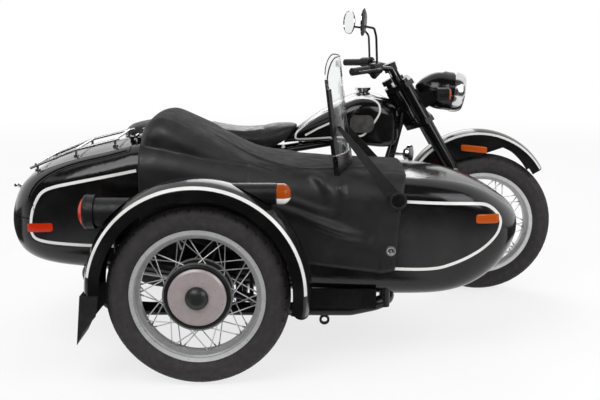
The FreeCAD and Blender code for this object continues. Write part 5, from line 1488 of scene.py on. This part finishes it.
@dataclass
class TonneauCover:
    """The leathercloth cover of the cockpit, stretched over the seat back and down the flank."""

    heart_z: float = 600.0
    inner_z: float = 642.0
    flank: float = 275.0
    rear: float = 63.0
    front_low: float = 1000.0
    columns: int = 150
    rows: int = 150
    thick: float = 0.0022
    proud: float = 0.0032
    hem_radius: float = 0.0026
    seam_x: float = 457.0
    seam_depth: float = 0.0022
    girth: float = 1150.0
    slant: float = math.radians(58.0)
    placket: tuple[float, float] = (946.0, 596.0)
    grommet: tuple[float, float] = (985.0, 450.0)
    hem_line: Line = ((62, 560), (300, 470), (650, 404), (944, 366), (1001, 378))
    front_line: Line = ((378, 1000), (585, 1016), (765, 1043), (1000, 1043))
    folds: tuple[Fold, ...] = (
        Fold(((540, -989, 622), (647, -989, 589), (714, -989, 562), (772, -989, 539), (830, -989, 519),
              (900, -989, 503)), 24.0, 17.0),
        Fold(((560, -989, 660), (640, -989, 632), (720, -989, 604), (800, -989, 590)), 10.0, 13.0),
        Fold(((690, -938, 732), (731, -961, 706), (764, -986, 656)), 20.0, 19.0),
        Fold(((812, -968, 704), (800, -978, 682), (812, -988, 650)), 13.0, 12.0),
        Fold(((330, -800, 850), (443, -822, 790), (506, -856, 767), (601, -906, 748), (717, -890, 738),
              (829, -850, 734), (900, -830, 732)), 9.0, 9.0),
        Fold(((400, -930, 792), (453, -931, 768), (510, -934, 750), (580, -950, 722)), 9.0, 10.0),
        Fold(((160, -989, 640), (280, -989, 600), (400, -989, 566)), 11.0, 18.0))

    @staticmethod
    def along_line(line: Line, at: float) -> float:
        """Read a broken line at a place.

        Args:
            line: The line's points of (place, value).
            at: The place.

        Returns:
            The value, held at the line's ends.
        """
        for (first, low), (last, high) in zip(line, line[1:]):
            if at <= last:
                return low + (high - low) * max(0.0, at - first) / (last - first)
        return line[-1][1]

    def angles(self, x: float) -> tuple[float, float]:
        """The angles of a section's hems about its heart.

        Args:
            x: The place along the body in millimetres.

        Returns:
            The angles of the inner and of the outer hem.
        """
        inner = math.atan2(self.inner_z - self.heart_z, self.flank)
        outer = math.pi + math.atan2(self.heart_z - self.along_line(self.hem_line, x), self.flank)
        return inner + 0.006, outer - 0.006

    def column_x(self, share: float, angle: float) -> float:
        """The place along the body of a column's point, so that the last column follows the front edge.

        Args:
            share: The column's place, from 0 at the rear to 1 at the front.
            angle: The point's angle about the section's heart.

        Returns:
            The design X in millimetres.
        """
        reach = self.flank / max(0.05, abs(math.cos(angle)))
        height = self.heart_z + reach * math.sin(angle)
        front = self.along_line(self.front_line, min(1000.0, height)) - 1.0
        return self.rear + (front - self.rear) * share

    def creases(self, x: float, along: float) -> float:
        """How far the small creases raise the cloth, in metres.

        Args:
            x: The place along the body in millimetres.
            along: The place across, from 0 at the inner hem to 1 at the outer one.

        Returns:
            The height.
        """
        s = along * self.girth
        u = x * math.cos(self.slant) - s * math.sin(self.slant)
        v = x * math.sin(self.slant) + s * math.cos(self.slant)
        first = noise.noise(Vector((u * 0.0030, v * 0.0075, 3.1)))
        second = noise.noise(Vector((u * 0.0060, v * 0.013, 9.7)))
        ridge = (1.0 - abs(first) * 2.2) ** 2 if abs(first) < 0.45 else 0.0
        soft = 0.5 + 0.5 * noise.noise(Vector((x * 0.006, s * 0.006, 1.3)))
        return 0.0016 * ridge + 0.0010 * (0.5 + 0.5 * second) + 0.003 * soft

    def stand(self, place: Vector, along: float) -> float:
        """How far the cloth stands off its solid at a place.

        Args:
            place: The design place in millimetres.
            along: The place across, from 0 at the inner hem to 1 at the outer one.

        Returns:
            The height in metres.
        """
        front = self.along_line(self.front_line, place.z)
        rim = min(1.0, (place.x - self.rear) / 50.0, (front - place.x) / 50.0,
                  along / 0.06, (1.0 - along) / 0.05)
        rim = max(0.0, rim)
        height = rim * (self.creases(place.x, along) + 0.001 * sum(fold.lift(place) for fold in self.folds))
        if along > 0.7 and place.x > self.placket[0] and place.z < self.placket[1]:
            height = self.proud
        return height - self.seam_depth * math.exp(-((place.x - self.seam_x) / 4.0) ** 2) * rim

    def grid(self) -> list[list[Vector]]:
        """Find the cloth's outer points with rays from outside.

        Returns:
            The columns of points, from the rear to the front.
        """
        skin = Skin("tonneau_cover")
        result = []
        for i in range(self.columns + 1):
            share = i / self.columns
            inner, outer = self.angles(self.rear + (self.front_low - self.rear) * share)
            column = []
            for j in range(self.rows + 1):
                along = j / self.rows
                angle = inner + (outer - inner) * along
                out = Vector((0.0, math.cos(angle), math.sin(angle)))
                heart = LAYOUT.at(self.column_x(share, angle), TUB_MIDDLE, self.heart_z)
                found = skin.hit(heart + out * 0.9, -out)
                if found is None:
                    column.append(None)
                else:
                    design = (found[0] - LAYOUT.origin) * 1000.0
                    column.append(found[0] + out * self.stand(design, along))
            for j, point in enumerate(column):
                if point is None:
                    known = [k for k, other in enumerate(column) if other is not None]
                    column[j] = column[min(known, key=lambda k: abs(k - j))].copy()
            result.append(column)
        return result

    def make(self) -> None:
        """Build the cover with its hem and its grommet."""
        grid = self.grid()
        width = self.rows + 1
        points = [point for column in grid for point in column]
        mesh = plain_mesh("cover", points, grid_faces(self.columns + 1, width, tube=False))
        cover = new_piece("cockpit_cover", mesh, FINISH.cover, creased=False)
        shell = cover.modifiers.new("thickness", "SOLIDIFY")
        shell.thickness = self.thick
        shell.offset = -1.0
        hem = self.hem(grid)
        fittings = self.fittings()
        long_way = max(sum((a - b).length for a, b in zip(column, column[1:])) for column in grid)
        wide_way = max(sum((first[j] - second[j]).length for first, second in zip(grid, grid[1:]))
                       for j in range(width))
        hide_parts("tonneau_cover")

    def hem(self, grid: list[list[Vector]]) -> bpy.types.Object:
        """Build the bound edge.

        Args:
            grid: The cloth's points.

        Returns:
            The hem's piece.
        """
        loop = [column[0] for column in grid] + grid[-1][1:] + [column[-1] for column in grid[-2::-1]]
        loop += grid[0][-2:0:-1]
        edge = pipe(loop[::2] + [loop[0]], self.hem_radius, 3)
        return new_piece("cockpit_cover_hem", edge, FINISH.cover)

    def fittings(self) -> bpy.types.Object:
        """Build the large grommet at the front lower corner.

        Returns:
            The grommet's piece.
        """
        place, normal = tub_skin("tonneau_cover").from_side(*self.grommet, Side.RIGHT)
        place += normal * self.proud
        eyelet = [(-0.002, 0.0095), (0.0014, 0.0095), (0.0034, 0.0120), (0.0040, 0.0150), (0.0030, 0.0185),
                  (0.0002, 0.0200), (-0.002, 0.0200)]
        stud = [(-0.002, 0.0090), (0.0008, 0.0090), (0.0012, 0.0055), (0.0040, 0.0050), (0.0046, 0.0035)]
        meshes = [lathe(eyelet, place, normal, ring=True), lathe(stud, place, normal, 24)]
        return new_piece("cockpit_cover_grommet", joined("grommet", meshes), FINISH.steel)


@dataclass
class Windscreen:
    """The sidecar's screen: clear sheet with an edge trim, and the sleeves of its straps."""

    foot_x: float = 848.0
    low: float = 800.0
    high: float = 1150.0
    half: float = 238.0
    deep: float = 64.0
    lean: float = -0.12
    base: float = 772.0
    corner: float = 110.0
    strip: float = 20.0
    strip_half: float = 0.0034
    strip_rows: int = 24
    trim_radius: float = 0.0026
    flank: float = 279.6

    @property
    def bend(self) -> float:
        """The radius of the screen's bow."""
        return (self.half ** 2 + self.deep ** 2) / (2.0 * self.deep)

    def at(self, across: float, z: float) -> Vector:
        """A point on the screen's front face."""
        bow = self.bend - math.sqrt(self.bend ** 2 - across ** 2)
        return LAYOUT.at(self.foot_x + self.lean * (z - self.base) - bow - 2.0, TUB_MIDDLE + across, z)

    def edging(self, side: Side) -> Mesh:
        """The dark channel along one upright edge.

        Args:
            side: The edge's side.

        Returns:
            The channel's mesh.
        """
        points = []
        inner, outer = self.half - self.strip, self.half + 1.5
        for row in range(self.strip_rows + 1):
            z = self.low + (self.high - self.corner - self.low) * row / self.strip_rows
            for across, face in ((inner, -1.0), (outer, -1.0), (outer, 1.0), (inner, 1.0)):
                sine = min(across, self.half) / self.bend
                normal = Vector((math.sqrt(1.0 - sine ** 2), side.value * sine, 0.0))
                points.append(self.at(side.value * across, z) + normal * face * self.strip_half)
        return mesh_of("edging", points, grid_faces(self.strip_rows + 1, 4))

    def strap(self, side: Side) -> Mesh:
        """The tapering sleeve over one strap, and the raised rim of its round bracket.

        Args:
            side: The strap's side.

        Returns:
            The mesh of both.
        """
        sections = (((1004, self.flank + 3.0, 645), 46.0), ((966, self.flank + 1.5, 692), 40.0),
                    ((884, 246, 790), 30.0), ((796, 207, 895), 16.0))
        across, out = Vector((0.77, 0.0, 0.64)), Vector((0.0, 3.2, 0.0))
        points = []
        for (x, y, z), width in sections:
            middle = Vector((x, TUB_MIDDLE + side.value * y, z))
            points += [LAYOUT.at(*(middle + across * width * a + out * b))
                       for a, b in ((-0.5, -1.0), (0.5, -1.0), (0.5, 1.0), (-0.5, 1.0))]
        sleeve = mesh_of("sleeve", points, grid_faces(len(sections), 4))
        section = [(-0.001, 0.0325), (0.003, 0.0325), (0.0042, 0.0305), (0.0042, 0.0255), (0.0028, 0.0235),
                   (-0.001, 0.0235)]
        place = LAYOUT.at(1008.0, TUB_MIDDLE + side.value * (self.flank + 11.0), 640.0)
        return joined("strap", [sleeve, lathe(section, place, side.out, ring=True)])

    def trim(self) -> Mesh:
        """The bead round the screen's top edge, from one corner to the other.

        Returns:
            The bead's mesh.
        """
        right = []
        for k in range(1, 9):
            turn = math.radians(90.0 * k / 8.0)
            right.append(self.at(-self.half + self.corner * (1 - math.cos(turn)),
                                 self.high - self.corner * (1 - math.sin(turn))))
        width = 2 * (self.half - self.corner)
        right += [self.at(-self.half + self.corner + width * k / 12.0, self.high) for k in range(1, 7)]
        middle = LAYOUT.at(0, TUB_MIDDLE, 0).y
        left = [Vector((point.x, 2 * middle - point.y, point.z)) for point in reversed(right[:-1])]
        return pipe(right + left, self.trim_radius, 2)

    def make(self) -> None:
        """Build the trim and the sleeves, and finish the sheet."""
        trim = joined("trim", [self.trim(), *(self.edging(side) for side in Side)])
        new_piece("windscreen_edge_trim", trim, FINISH.plastic)
        for side in Side:
            new_piece(f"windscreen_strap_sleeve_{side.word}", self.strap(side), FINISH.rubber)
        dress(FINISH.clear, "windscreen")
        dress(FINISH.chassis_black, "windscreen_frame")


@dataclass
class SideWing:
    """The sidecar wheel's mudguard: edge stripes and the lamps' lenses."""

    z: float = 348.0
    edge_radius: float = 382.0
    edge_width: float = 10.0
    tail_lens: tuple[float, float] = (-93.0, 630.0)
    marker_lens: tuple[float, float] = (569.0, 695.0)

    def stripes(self) -> None:
        """Paint the stripes near both edges."""
        skin = Skin("side_fender")
        edge = arc(SIDE_WHEEL[0], self.z, self.edge_radius, range(0, 172, 2))
        for side in Side:
            stripe = ribbon(skin, edge, self.edge_width, side)
            new_piece(f"side_guard_stripe_{side.word}", stripe, FINISH.white)

    def lenses(self) -> None:
        """Build the red tail lens with its rim and the amber marker lens."""
        red = [(0.0055, 0.0574), (0.0063, 0.0574), (0.0124, 0.0517), (0.0176, 0.0452), (0.0220, 0.0381),
               (0.0254, 0.0305), (0.0278, 0.0225), (0.0292, 0.0143), (0.0295, 0.0060), (0.0296, 0.0006)]
        rim = [(-0.004, 0.0604), (0.0005, 0.0604), (0.0062, 0.0577), (0.0072, 0.0588), (0.0012, 0.0620),
               (-0.004, 0.0620)]
        amber = [(0.0034, 0.0364), (0.0272, 0.0364), (0.0338, 0.0341), (0.0398, 0.0304), (0.0449, 0.0255),
                 (0.0488, 0.0196), (0.0514, 0.0130), (0.0524, 0.0060), (0.0525, 0.0006)]
        back, front = (LAYOUT.at(x, SIDE_WHEEL[1], z) for x, z in (self.tail_lens, self.marker_lens))
        new_piece("side_tail_lens", lathe(red, back, -FORWARD, 56), FINISH.red)
        new_piece("side_tail_rim", lathe(rim, back, -FORWARD, 56, ring=True), FINISH.plastic)
        new_piece("side_marker_lens", lathe(amber, front, FORWARD), FINISH.marker)

    def make(self) -> None:
        """Dress the wing."""
        self.stripes()
        self.lenses()
        dress(FINISH.black, "side_fender")
        dress(FINISH.rubber, "mud_flap")
        dress(FINISH.plastic, "side_lamps")


@dataclass
class SidecarChassis:
    """The ladder frame and the trailing arm with their bolts."""

    bolt_places: tuple[tuple[float, float, float], ...] = ((655.0, -1054.0, 232.0), (290.0, -1051.0, 330.0))

    def make(self) -> None:
        """Build the bolts and finish the frame."""
        head = [(-0.002, 0.012), (0.001, 0.012), (0.0012, 0.0095), (0.009, 0.0095), (0.010, 0.008)]
        meshes = [lathe(head, LAYOUT.at(*place), Side.RIGHT.out, 6) for place in self.bolt_places]
        new_piece("sidecar_bolts", joined("bolts", meshes), FINISH.steel)
        dress(FINISH.chassis_black, "sidecar_frame", "wheel_arm")


@dataclass
class TrunkLid:
    """The lid with its rolled side rims, its rack and its latch."""

    rim_half: float = 228.0
    rim_from: float = -405.0
    rim_to: float = 14.0
    rim_radius: float = 0.0032
    rim_runs: int = 28

    def rims(self) -> None:
        """Build the rolled rims along the lid's sides."""
        skin = Skin("trunk_lid")
        meshes = []
        for side in Side:
            line = []
            for k in range(self.rim_runs + 1):
                x = self.rim_from + (self.rim_to - self.rim_from) * k / self.rim_runs
                above = LAYOUT.at(x, TUB_MIDDLE + side.value * self.rim_half, 1200.0)
                found = skin.hit(above, Vector((0, 0, -1)))
                if found is not None:
                    line.append(found[0] + found[1] * 0.001)
            meshes.append(pipe(line, self.rim_radius, 3))
        new_piece("trunk_lid_rims", joined("rims", meshes), FINISH.black, Body.TRUNK_LID)

    def make(self) -> None:
        """Build the rims and finish the lid's nodes."""
        self.rims()
        dress(FINISH.black, "trunk_lid")
        dress(FINISH.rail, "luggage_rack")
        dress(FINISH.chrome, "lid_latch")


def main() -> None:
    """Build the studio and every sub-assembly in order."""
    logging.basicConfig(level=logging.INFO, format="%(message)s")
    for part in (PhotoCamera(), Studio(),
                 WireWheel("front", Body.FRONT_WHEEL, 1500.0, 0.0),
                 WireWheel("rear", Body.REAR_WHEEL, 0.0, 0.0),
                 WireWheel("side", Body.SIDE_WHEEL, *SIDE_WHEEL),
                 FrontEnd(), Motorcycle(), SidecarTub(), TonneauCover(), Windscreen(), SideWing(),
                 SidecarChassis(), TrunkLid()):
        part.make()


if __name__ == "__main__":
    main()
